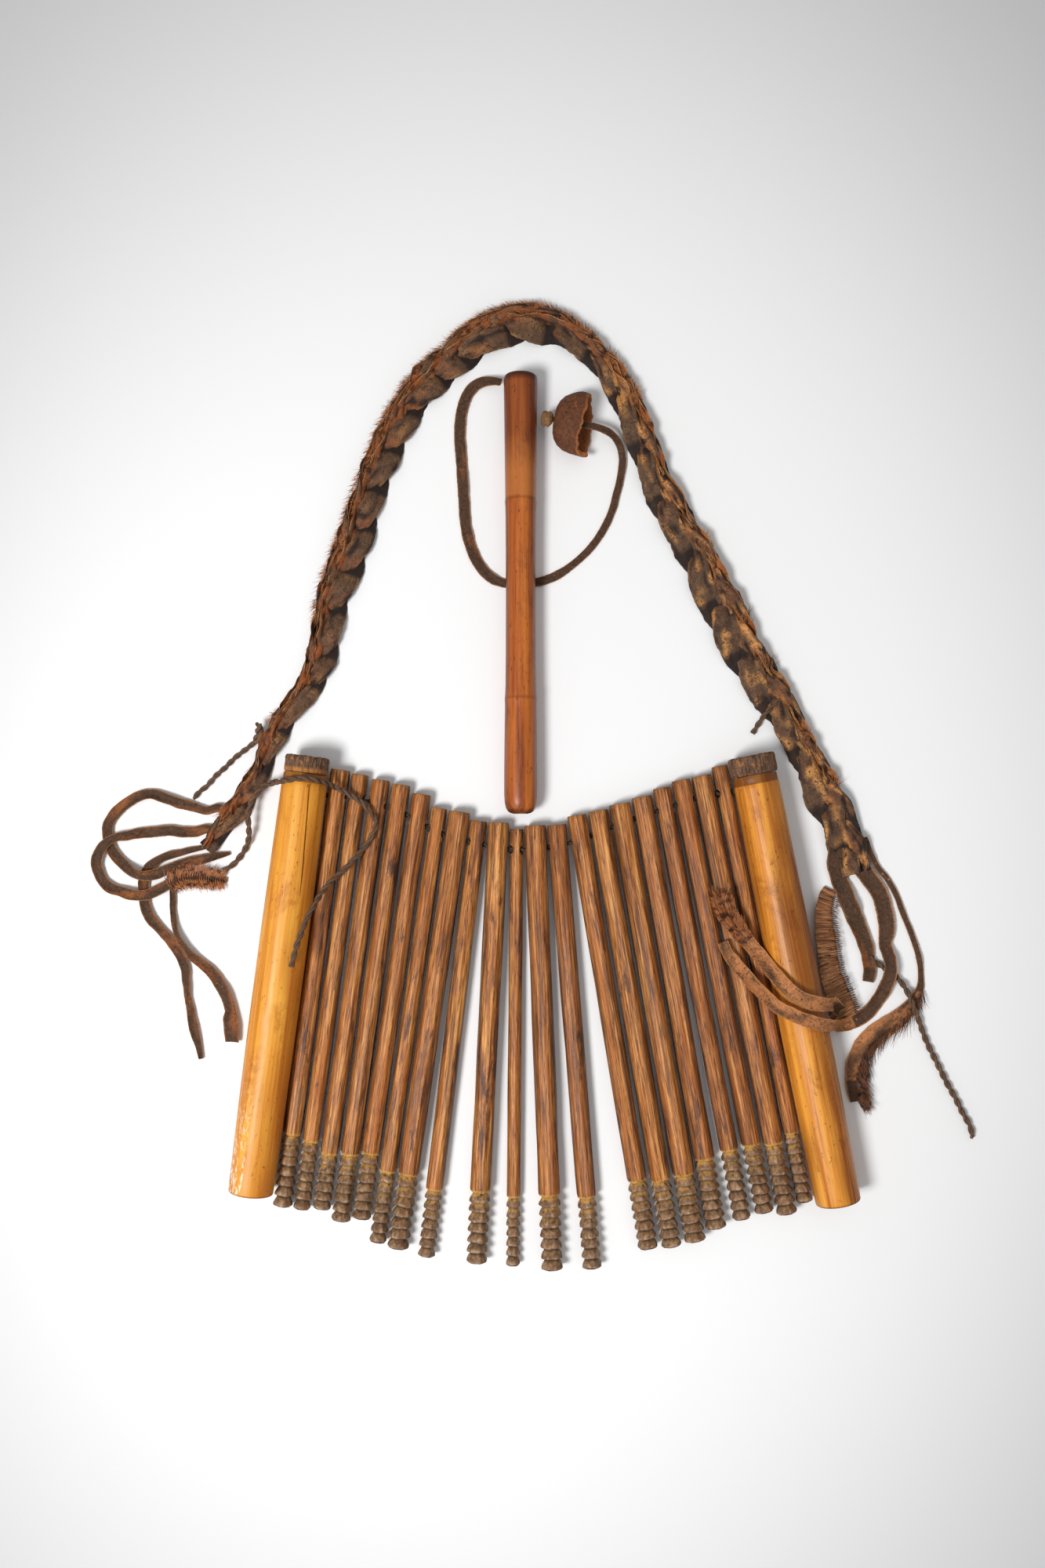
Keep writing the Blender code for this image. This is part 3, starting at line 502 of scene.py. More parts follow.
def add_skin(name, rings, material, marks=(), looped=False, sharp=40.0):
    """A mesh over equal rings of spots, which are a point in mm, its run or None, and its marks.

    The ends are closed with fans, unless the rings are looped: the last one joins the first.
    """
    count, around = len(rings), len(rings[0])
    spots = [spot for ring in rings for spot in ring]
    points = np.array([spot[0] for spot in spots], float)
    faces = []
    for i in range(count if looped else count - 1):
        low = i * around
        high = ((i + 1) % count) * around
        for j in range(around):
            k = (j + 1) % around
            faces.append((low + j, low + k, high + k, high + j))
    if not looped:
        points = np.vstack([points, points[:around].mean(axis=0), points[-around:].mean(axis=0)])
        first, last = len(spots), len(spots) + 1
        top = (count - 1) * around
        for j in range(around):
            k = (j + 1) % around
            faces.append((first, k, j))
            faces.append((last, top + j, top + k))
        spots += [spots[0], spots[-1]]
    mesh = bpy.data.meshes.new(name)
    mesh.from_pydata((points * MM).tolist(), [], faces)
    for k, mark in enumerate(marks):
        layer = mesh.attributes.new(mark, "FLOAT", "POINT")
        layer.data.foreach_set("value", np.array([spot[2 + k] for spot in spots], np.float32))
    if spots[0][1] is not None:
        flat = np.array([spot[1] for spot in spots], float) * MM
        flat[count * around:] = 0.0
        layer = mesh.uv_layers.new(name="run")
        corner = np.zeros(len(mesh.loops), np.int32)
        mesh.loops.foreach_get("vertex_index", corner)
        layer.data.foreach_set("uv", flat[corner].astype(np.float32).reshape(-1))
    work = bmesh.new()
    work.from_mesh(mesh)
    bmesh.ops.recalc_face_normals(work, faces=work.faces)
    work.to_mesh(mesh)
    work.free()
    mesh.polygons.foreach_set("use_smooth", [True] * len(mesh.polygons))
    mesh.set_sharp_from_angle(angle=math.radians(sharp))
    return into_scene(name, mesh, material)


def lean_turn(lean):
    return Matrix.Rotation(math.radians(-lean), 4, "Z")


def smooth_run(points, step):
    """A smooth line through the points, resampled at even steps. Extra columns follow along."""
    wide = max(len(p) for p in points)
    table = np.array([list(p) + [0.0] * (wide - len(p)) for p in points], float)
    padded = np.vstack([2 * table[0] - table[1], table, 2 * table[-1] - table[-2]])
    line = []
    for k in range(1, len(padded) - 2):
        before, here, there, beyond = padded[k - 1:k + 3]
        for t in np.linspace(0.0, 1.0, 24, endpoint=False):
            line.append(0.5 * (2 * here + (there - before) * t
                               + (2 * before - 5 * here + 4 * there - beyond) * t * t
                               + (3 * here - before - 3 * there + beyond) * t ** 3))
    line.append(table[-1])
    line = np.array(line)
    gaps = np.linalg.norm(np.diff(line[:, :3], axis=0), axis=1)
    travel = np.concatenate([[0.0], np.cumsum(gaps)])
    count = max(4, int(round(travel[-1] / step)) + 1)
    at = np.linspace(0.0, travel[-1], count)
    return np.column_stack([np.interp(at, travel, line[:, c]) for c in range(wide)]), at


def unit(rows):
    return rows / np.linalg.norm(rows, axis=-1, keepdims=True)


def frames(line):
    """Unit tangent, side and up of a line that lies about flat."""
    run = unit(np.gradient(line[:, :3], axis=0))
    side = unit(np.cross(UP, run))
    return run, side, np.cross(run, side)


def rolled(side, up, roll):
    """The two directions turned by an angle about the line that they stand across."""
    c, s = math.cos(roll), math.sin(roll)
    return c * side + s * up, c * up - s * side


def held(point, low, high=math.inf):
    """The point with its height kept between two heights above the surface."""
    return point[0], point[1], clamp(point[2], low, high)


def set_down(thing, point, turn, body, node):
    """Place a piece made in its own frame, ride it on a body and let it stand for a CAD node."""
    thing.matrix_world = Matrix.Translation(Vector(point) * MM) @ turn
    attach(thing, body)
    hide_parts(node)


def drill(thing, point, direction, radius, length):
    """Cut a round hole through a piece, at a point of the piece's own frame, in mm."""
    mesh = bpy.data.meshes.new("drill")
    work = bmesh.new()
    bmesh.ops.create_cone(work, cap_ends=True, segments=20, radius1=radius * MM,
                          radius2=radius * MM, depth=length * MM)
    turn = Vector((0.0, 0.0, 1.0)).rotation_difference(Vector(direction)).to_matrix().to_4x4()
    bmesh.ops.transform(work, matrix=Matrix.Translation(Vector(point) * MM) @ turn,
                        verts=work.verts)
    work.to_mesh(mesh)
    work.free()
    cutter = bpy.data.objects.new("drill", mesh)
    bpy.context.scene.collection.objects.link(cutter)
    hole = thing.modifiers.new("hole", "BOOLEAN")
    hole.operation = "DIFFERENCE"
    hole.solver = "EXACT"
    hole.object = cutter
    bpy.context.view_layer.update()
    seen = thing.evaluated_get(bpy.context.evaluated_depsgraph_get())
    cut_mesh = bpy.data.meshes.new_from_object(seen)
    thing.modifiers.clear()
    thing.data = cut_mesh
    bpy.data.objects.remove(cutter, do_unlink=True)


# ---------------------------------------------------------------- pipes
GOLD = [0.6, 0.75, 0.5, 0.5, 0.4, 0.6, 0.35, 0.9, 1.0, 0.6, 0.3, 0.1, 0.55, 0.75, 0.65, 0.35,
        0.1, 0.2, 0.55, 0.5]    # how golden the wood of each pipe is
# One bell ring: share of its height, share of the radius, cut mark, dark mark (painted shade in the
# neck).
BELL = [(0.01, 0.76, 0.0, 1.00), (0.07, 0.93, 0.0, 0.60), (0.15, 1.02, 0.0, 0.0),
        (0.32, 1.00, 0.0, 0.0), (0.50, 0.92, 0.0, 0.10), (0.66, 0.83, 0.3, 0.30),
        (0.80, 0.74, 0.8, 0.60), (0.93, 0.69, 0.6, 1.00)]
BELL_FRESH = (0.25, 0.25, 0.3, 0.35, 0.6, 0.9, 1.0)     # how bright the cuts are, foot to shaft


def facet_share(angle, y, seed, facets=8):
    """Share of the full radius on a surface that a knife has left in long flats."""
    best = 1.03
    for k in range(facets):
        centre = TAU * k / facets + 0.45 * wave(seed * 7.3 + k, y / 110.0, 0.0)
        depth = 0.955 + 0.050 * wave(seed * 3.1, k * 5.7, y / 45.0)
        facing = math.cos(angle - centre)
        if facing > 0.5:
            best = min(best, depth / facing)
    return best


def pipe_stations(number):
    """Along the pipe from its foot: place, share of the radius, tail, cut and dark marks. The dark
    mark is painted shade in the bell necks, in the groove below the top and down the bore; the foot
    is darker too.
    """
    stub, length, tail, bells = PIPES[number - 1][4:]
    foot = stub - length
    pitch = tail / bells
    stations = [(foot, 0.62, 1.0, 0.0, 0.3), (foot, 0.86, 1.0, 0.0, 0.0)]
    for k in range(bells):
        fresh = BELL_FRESH[min(6, k + 7 - bells)]
        low = foot + pitch * (k + 0.10 * wave(number, k * 2.1, 5.0) * (0 < k))
        uneven = 1.0 + 0.035 * wave(number, k * 3.3, 1.0)
        for rise, share, cut, dark in BELL:
            stations.append((low + rise * pitch, share * uneven, 1.0, cut * fresh,
                             dark * (1.0 - fresh * 0.6)))
    shoulder = foot + tail
    stations += [(shoulder + 0.1, 0.84, 1.0, 1.0, 0.0), (shoulder + 0.8, 0.95, 0.3, 0.5, 0.0),
                 (shoulder + 2.2, 0.995, 0.0, 0.0, 0.0)]
    stations += [(at, 1.0, 0.0, 0.0, 0.0) for at in np.linspace(shoulder + 4.5, stub - 4.0, 52)]
    # the top end: a groove, the rim and the bore, with painted shade in the groove and down the
    # bore
    stations += [(stub - 2.1, 1.0, 0.0, 0.0, 0.0), (stub - 1.8, 0.965, 0.0, 0.3, 0.2),
                 (stub - 1.5, 0.99, 0.0, 0.0, 0.0), (stub - 0.5, 0.97, 0.2, 0.0, 0.1),
                 (stub, 0.92, 0.4, 0.0, 0.2), (stub, 0.62, 0.4, 0.0, 0.5),
                 (stub - 0.8, 0.56, 0.0, 0.0, 1.0), (6.0, 0.55, 0.0, 0.0, 1.0)]
    return stations


def make_pipe(number, material):
    x, y, diameter, lean = PIPES[number - 1][:4]
    radius = diameter / 2.0
    stations = pipe_stations(number)
    rings = []
    for k, (at, share, in_tail, cut, dark) in enumerate(stations):
        bore = k >= len(stations) - 3
        ring = []
        for angle, c, s in circle(48):
            reach = radius * share * (1.0 if bore else facet_share(angle, at, number))
            along = at
            if in_tail == 1.0:
                reach *= 1.0 + 0.045 * wave(c * 1.9, s * 1.9, at * 0.22 + number * 3.0)
                along += 0.8 * wave(c * 1.2, s * 1.2, number + at * 0.12) * (k > 1)
                reach = min(reach, radius * 1.02)
            # painted shade: the pipe's left and right sides are painted darker through the dark
            # mark
            painted_side_shade = 0.0 if bore or 0.0 < cut else 0.85 * abs(c) ** 4 * (1.0 - 0.4 * in_tail)
            point = (reach * c, along, max(reach * s, -radius + 0.1))
            ring.append((point, None, in_tail, cut, max(dark, painted_side_shade), number * 1.7,
                         GOLD[number - 1]))
        rings.append(ring)
    node = f"pipe_{number:02d}"
    pipe = add_skin(node + "_wood", rings, material, ("tail", "cut", "dark", "seed", "gold"),
                    sharp=16.0)
    back = lean_turn(lean).inverted()
    hole = back @ Vector((0.0, 0.0, CORD_Z + 0.4 - radius))
    near = [PIPES[p] for p in (number - 2, number) if 0 <= p < len(PIPES)]
    first = near[0] if len(near) == 2 else PIPES[number - 1]
    spread = Vector((near[-1][0] - first[0], near[-1][1] - first[1], 0.0))
    drill(pipe, hole, back.to_3x3() @ spread.normalized(), min(4.1, radius * 0.66), diameter * 2.0)
    set_down(pipe, (x, y, radius), lean_turn(lean), node, node)


# ---------------------------------------------------------------- tubes, stoppers, case, cap
def tube_marks(word, length, at, c):
    """Marks on a tube's skin at one place along it: edge, deep and scuff. Deep is painted shade on
    the right side and along the left edge, plus random tone, a darker foot and a stain that is
    partly a painted shadow of the strips. The last mark holds pale scuffs and a painted highlight
    on the left tube's lower left, which faces the key light.
    """
    edge = 0.75 if at > -5.9 or at < -length + 1.2 else 0.0
    if word == "left":
        low_share, spread, strength, seed = 0.30, -0.1, 0.45, 3.0
    else:
        # a stain in the right tube's middle: partly real brown skin, partly a painted shadow of the
        # strips that lie over it
        stain_and_strip_shadow = math.exp(-((at + 112.0) / 50.0) ** 2)
        low_share, spread, strength, seed = 0.05, 0.10 + 0.55 * stain_and_strip_shadow, 0.60 + 0.60 * stain_and_strip_shadow, 11.0
    low = clamp((-at - 120.0) / 160.0) * low_share
    # painted shade on the right side, away from the key light
    right = clamp((c + spread) / 0.5) * min(1.0, strength)
    # painted shade along the left edge
    left = clamp((-c - 0.72) / 0.28) * 0.6
    deep = clamp(low + right + left + 0.5 * wave(at / 40.0, c * 1.5, seed))
    # pale scuffs and a painted highlight on the left tube's lower left, the side that faces the key
    # light
    worn = word == "left" and at < -200.0 and c < -0.25
    return edge, deep, (-at - 200.0) / 90.0 if worn else 0.0


def make_tube(word, material, stopper_wood):
    tube = TUBES[word]
    length = tube["length"]
    around = 84
    crack = 22                                # column that the left tube's long crack follows
    seed = 3.0 if word == "left" else 11.0
    rings = []
    for at in np.concatenate([[-length, -length + 0.5, -length + 1.6],
                              np.linspace(-length + 8, -9, 44),
                              [-6.5, -5.6, -4.6, -2.5, -1.0, -0.3, 0.0]]):
        share = clamp((at + length) / length * 0.96 + 0.02)
        base = TUBE_RADIUS + TUBE_SWELL * math.sin(math.pi * share)
        base -= 0.45 * (at > -5.9)
        base -= 0.25 * (at > -0.4) + 0.5 * (at < -length + 0.3) + 0.15 * (at < -length + 1.0)
        middle = math.radians(64.0 + 0.20 * (at + 12.0)) + 0.03 * wave(at / 9.0, 2.0, 2.0)
        ring = []
        for j, (angle, c, s) in enumerate(circle(around)):
            reach = base * (1.0 + 0.006 * wave(c, s + seed, at / 60.0))
            dark = 0.0
            if word == "left" and at > -170.0:
                away = j - crack
                fade = min(1.0, (at + 170.0) / 15.0)
                angle += max(0.0, 1.0 - abs(away) / 9.0) * fade * (middle - TAU * crack / around)
                if abs(away) == 1:
                    angle -= away * 0.6 * fade * TAU / around
                # painted shade: the crack's groove is painted near black
                if away == 0 and -150.0 < at < -6.5:
                    reach -= 1.1
                    dark = 1.0
                c, s = math.cos(angle), math.sin(angle)
            ring.append(((reach * c, at, reach * s), None, dark, *tube_marks(word, length, at, c)))
        rings.append(ring)
    # the rim and the bore, painted darker inside: painted shade through the dark and edge marks
    for at, reach in ((0.0, 12.9), (-0.6, TUBE_BORE), (-length + 8.0, TUBE_BORE)):
        rings.append([((reach * c, at, reach * s), None, 0.2, 1.0, 0.0, 0.0)
                      for angle, c, s in circle(around)])
    skin = add_skin(f"bamboo_tube_{word}_skin", rings, material, ("dark", "edge", "deep", "scuff_and_highlight"),
                    sharp=35.0)
    drill(skin, (tube["side"] * 11.6, tube["passage_y"], -8.6), (1.0, 0.0, 0.0), 3.6, 12.0)
    place = (*tube["rim"], TUBE_Z)
    set_down(skin, place, lean_turn(tube["lean"]), f"tube_{word}", f"bamboo_tube_{word}")
    make_stopper(word, stopper_wood, place)


def make_stopper(word, material, place):
    tube = TUBES[word]
    head, wide = tube["head"], tube["head_radius"]
    stations = [(-8.4, 10.4), (-8.0, 11.6), (-6.0, 12.3), (0.25, 12.4), (0.3, wide * 0.93),
                (0.9, wide * 0.975), (2.5, wide), (4.5, wide), (head * 0.6, wide * 0.99),
                (head - 2.2, wide), (head - 0.9, wide * 0.985), (head - 0.2, wide * 0.95),
                (head, wide * 0.88), (head - 0.3, wide * 0.55), (head - 0.1, wide * 0.2)]
    rings = []
    for at, reach in stations:
        band = 0.85 if word == "left" and 0.5 < at < 3.0 else 0.0
        ring = []
        for angle, c, s in circle(72):
            rough = 0.30 * wave(c * 7, s * 7, at * 0.35 + wide) + 0.22 * wave(c * 19, s * 19, at)
            lift = 0.55 * wave(c * 5, s * 5, wide) * (at > head - 1.5)
            out = reach + (rough - 0.15) * (at > 0.6)
            point = (out * c, min(at + lift, head + 0.5), max(out * s, -TUBE_Z + 0.2))
            ring.append((point, None, band * (0.4 + 0.6 * (wave(angle * 9, 1.0, 2.0) > -0.1))))
        rings.append(ring)
    node = f"stopper_{word}"
    plug = add_skin(node + "_wood", rings, material, ("cut",), sharp=50.0)
    set_down(plug, place, lean_turn(tube["lean"]), node, node)


def make_case(material):
    length = 303.6
    nodes = (80.0, 217.0)                     # places of the cane's two nodes
    radii = [(0.0, 4.6), (0.5, 6.9), (1.8, 8.9), (4.0, 10.2), (7.5, 11.0), (13.0, 11.4),
             (30.0, 11.4), (60.0, 11.1), (73.0, 10.9), (76.5, 10.9), (78.5, 11.1), (80.0, 11.0),
             (82.0, 10.85), (88.0, 10.55), (110.0, 10.3), (150.0, 10.2), (185.0, 10.3),
             (207.0, 10.5), (213.0, 10.7), (215.5, 10.95), (217.0, 10.8), (219.0, 10.7),
             (235.0, 10.9), (262.0, 11.2), (285.0, 11.5), (297.0, 11.7), (301.0, 11.6),
             (302.6, 11.2), (303.4, 10.3), (length, 9.2), (length - 0.6, 7.8), (length - 4, 7.6),
             (14.0, 7.6)]
    rings = []
    for k, (at, reach) in enumerate(radii):
        inner = k > len(radii) - 4
        # painted shade inside the bore; the foot end is darker too
        dark = 1.0 if inner else 0.5 if at < 2.0 else 0.0
        at_node = any(abs(at - node) < 1.0 for node in nodes)
        edge = 0.35 if at_node else 0.9 if at > 300.5 else 0.0
        band = 0.45 if 218.5 < at < 240.0 else 0.0
        smoke = 0.60 if at > 240.0 else 0.0
        ring = []
        for _, c, s in circle(56):
            out = reach * (1.0 + 0.006 * wave(c, s, at / 50.0))
            chip = 1.1 * max(0.0, wave(c * 3, s * 3, 5.0)) * (at < 3.0)
            # deep: the smoked top, and painted shade on both sides of the cane
            ring.append(((out * c, at + chip, out * s), None, dark, edge, band,
                         min(1.0, smoke + abs(c) ** 3)))
        rings.append(ring)
    skin = add_skin("case_tube_skin", rings, material, ("dark", "edge", "band", "deep"), sharp=35.0)
    drill(skin, (-9.8, 299.6, -0.6), (1.0, 0.0, 0.0), 2.1, 8.0)
    set_down(skin, CASE_FOOT, Matrix.Identity(4), "case", "case_tube")


def make_cap(leather, knot_hide):
    profile = [(-13.3, 0.09), (-13.4, 0.25), (-12.9, 0.42), (-11.4, 0.60), (-8.5, 0.76),
               (-4.0, 0.89), (1.0, 0.955), (6.0, 0.985), (10.5, 1.0), (13.0, 1.0), (14.0, 0.97),
               (14.3, 0.92), (13.6, 0.86), (9.0, 0.85), (2.0, 0.82), (-5.0, 0.70), (-9.6, 0.44),
               (-10.7, 0.24), (-10.8, 0.09)]
    rings = []
    for k, (at, share) in enumerate(profile):
        ring = []
        for _, c, s in circle(96):
            dent = 0.030 * wave(c * 2.1, s * 2.1, at / 9.0) + 0.016 * wave(c * 9, s * 9, at / 4.0)
            wall = share + dent * (share > 0.3)
            ragged = 1.5 * wave(c * 4, s * 4, 1.0) + 0.8 * wave(c * 13, s * 13, 3.0)
            cut_back = 6.5 * max(0.0, s) ** 0.5 * (1.0 - 0.5 * c) + 4.0 * max(0.0, c) ** 1.5
            along = at + (ragged - 0.8) * max(0.0, (at - 6.0) / 8.0)
            along -= cut_back * max(0.0, (at + 4.0) / 18.0)
            ring.append(((along, CAP_RADII[0] * wall * c, CAP_RADII[1] * wall * s), None,
                         0.8 if 8 < k < 13 else 0.0, 0.75 if k > 12 else 0.0))
        rings.append(ring)
    cap = add_skin("case_cap_leather", rings, leather, ("edge", "inside"), looped=True, sharp=60.0)
    turn = lean_turn(-CAP_TURN)
    set_down(cap, CAP_CENTRE, turn, "cap", "case_cap")
    rings = []
    for at, reach in [(-4.2, 1.0), (-4.0, 2.6), (-3.0, 3.9), (-1.4, 4.5), (0.0, 3.9), (1.4, 4.4),
                      (2.8, 3.6), (3.8, 2.4), (4.1, 1.0)]:
        ring = []
        for _, c, s in circle(28):
            lump = 1.0 + 0.22 * wave(c * 1.6, s * 1.6, at / 3.0)
            lump += 0.1 * wave(c * 5, s * 5, at / 2.0)
            ring.append(((at, reach * lump * c * 1.25, reach * lump * s), None))
        rings.append(ring)
    knot = add_skin("cap_knot_hide", rings, knot_hide, sharp=70.0)
    set_down(knot, Vector(CAP_CENTRE) + turn @ Vector((-18.2, 0.0, 0.0)), turn, "cap", "cap_knot")


# ---------------------------------------------------------------- cords and strips
def join(things):
    """All the things' meshes in the first thing."""
    work = bmesh.new()
    for thing in things:
        work.from_mesh(thing.data)
    work.to_mesh(things[0].data)
    work.free()
    for thing in things[1:]:
        bpy.data.objects.remove(thing, do_unlink=True)
    return things[0]


def declare(thing, line, body, nodes):
    """Ride a long soft piece on a body, if one is given, and hide its CAD nodes. Its line is its
    route, from the place where it leaves.
    """
    if body:
        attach(thing, body)
    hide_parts(*nodes)
    length = float(np.linalg.norm(np.diff(line[:, :3], axis=0), axis=1).sum())


def blend_between(thing, a, b, start, end):
    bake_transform(thing)


def twisted_cord(name, points, diameter, material, sizes=None):
    """A two-ply cord: two strands that wind round each other along one smooth line."""
    line, at = smooth_run(points, diameter * 0.28)
    _, side, up = frames(line)
    pitch = 3.4 * diameter
    sway = np.array([wave(a / 16.0, 1.0, 9.0) for a in at]) * diameter * 0.05
    swell = np.ones(len(at)) if sizes is None else np.interp(at, *sizes)
    swing = diameter * 0.235 * swell
    plies = []
    for ply in range(2):
        turn = TAU * at / pitch + ply * math.pi
        centres = line[:, :3] + (np.cos(turn) * swing + sway)[:, None] * side
        centres = centres + (np.sin(turn) * swing)[:, None] * up
        along = unit(np.gradient(centres, axis=0))
        across = unit(np.cross(up, along))
        over = np.cross(along, across)
        rings = []
        for k, here in enumerate(at):
            thick = diameter * 0.275 * swell[k] * (1.0 + 0.12 * wave(here / 3.0, ply * 5.0, 2.0))
            ring = []
            for angle, c, s in circle(10):
                point = centres[k] + thick * (c * across[k] + s * over[k])
                ring.append((held(point, LOWEST), (here, thick * angle)))
            rings.append(ring)
        plies.append(add_skin(name + "_ply" * ply, rings, material, sharp=60.0))
    return join(plies), line


def hide_strip(name, points, thickness, material, cup=1.7, twist=30.0, seed=1.0,
               orange=(0.0, 1.0, -0.05), wide=1.0):
    """A cut strip of hide with an uneven edge, cupped and turned a little along its length.

    Orange says over which share of its length the worn, orange inner side shows, and how much.
    """
    line, at = smooth_run(points, 1.6)
    _, side, up = frames(line)
    around = 20
    half = around // 2
    rings = []
    for k, here in enumerate(at):
        lift = clamp(line[k, 3] / 9.0)
        roll = line[k, 4] if line.shape[1] > 4 else 0.0
        roll = math.radians(roll + twist * wave(here / 26.0, seed, 30.0) * 2.0)
        across, face = rolled(side[k], up[k], roll)
        width = line[k, 3] * wide
        left, right = (width / 2 * (1.0 + 0.10 * wave(here / 7.0, seed, edge)
                                    + 0.06 * wave(here / 2.0, seed, edge + 1.0))
                       for edge in (0.0, 7.0))
        rise = width / 2 * abs(math.sin(roll)) * 0.8
        shows = orange[0] <= here / at[-1] <= orange[1]
        ring = []
        for j in range(around):
            upper = j < half
            u = -1.0 + 2.0 * (j if upper else around - 1 - j) / (half - 1)
            x = left * u if u < 0 else right * u
            bulge = thickness / 2 * math.sqrt(max(0.0, 1.0 - 0.88 * u * u))
            z = (bulge if upper else -bulge) + cup * lift * (u * u - 0.35)
            z += 0.45 * wave(here / 9.0, u * 0.9, seed)
            z += 0.198 * wave(here / 2.2, u * 2.4, seed + 3)
            point = line[k, :3] + across * x + face * z + UP * rise
            red = orange[2] + 1.6 * wave(here / 24.0, u * 0.8, seed + 40.0) if shows else -0.9
            red += 0.5 * wave(here / 6.0, u * 2.0, seed + 50.0) - 0.5 * (abs(u) > 0.8)
            ring.append((held(point, LOWEST), (here, x + (0 if upper else 40)),
                         0.9 if abs(u) > 0.9 else 0.0, clamp(red * (1.0 if upper else 1.3))))
        rings.append(ring)
    return add_skin(name, rings, material, ("edge", "inside"), sharp=60.0), line


# ---------------------------------------------------------------- hair
def hair(name, roots, material, random, width):
    """Hairs as thin tapering blades. A root is its point, direction, length and droop in mm."""
    points, faces, along = [], [], []
    for point, direction, length, droop in roots:
        direction = np.asarray(direction) / np.linalg.norm(direction)
        across = np.cross(direction, UP + random.normal(0, 0.4, 3))
        across /= np.linalg.norm(across) + 1e-9
        bend = random.normal(0, 0.10, 3)
        start = len(points)
        for t in (0.0, 0.45, 1.0):
            centre = point + direction * length * t + bend * length * t * t
            centre = centre - UP * droop * t * t
            centre[2] = max(centre[2], 0.15)
            thin = width * (1.0 - 0.75 * t)
            points += [centre - across * thin, centre + across * thin]
            along += [t, t]
        faces.append((start, start + 1, start + 3, start + 2))
        faces.append((start + 2, start + 3, start + 5, start + 4))
    mesh = bpy.data.meshes.new(name)
    mesh.from_pydata((np.array(points) * MM).tolist(), [], faces)
    layer = mesh.attributes.new("along", "FLOAT", "POINT")
    layer.data.foreach_set("value", np.array(along, np.float32))
    return into_scene(name, mesh, material)


def strip_hair(name, line, count, material, seed, spans, length=(3.0, 9.0), along=0.8, out=1.0,
               high=0.4, one_way=False, across_share=(-0.5, 0.5)):
    """Hair that grows from a strip over the given spans of its length and share of its width."""
    random = np.random.default_rng(seed)
    run, side, up = frames(line)
    roots = []
    for _ in range(count):
        low, top = spans[random.integers(len(spans))]
        k = int(random.uniform(low, top) * (len(line) - 1))
        u = random.uniform(*across_share)
        roll = math.radians(line[k, 4]) if line.shape[1] > 4 else 0.0
        across, _ = rolled(side[k], up[k], roll)
        rise = line[k, 3] / 2 * abs(math.sin(roll)) * 0.8
        root = line[k, :3] + across * line[k, 3] * u + UP * (2.3 + rise)
        hand = 1.0 if one_way else np.sign(u)
        direction = (run[k] * along + across * out * hand * random.uniform(0.6, 1.0)
                     + UP * random.uniform(0.0, high))
        roots.append((root, direction, random.uniform(*length), random.uniform(0.1, 0.9)))
    return hair(name, roots, material, random, 0.24)


# ---------------------------------------------------------------- strap
PLAIT = (90.0, 120.0)           # length of one full round of a strand: left arm, right arm
# the dark mark is painted shade between and under the strands and in their creases
STRAP_MARKS = ("edge", "inside", "dark", "tan")


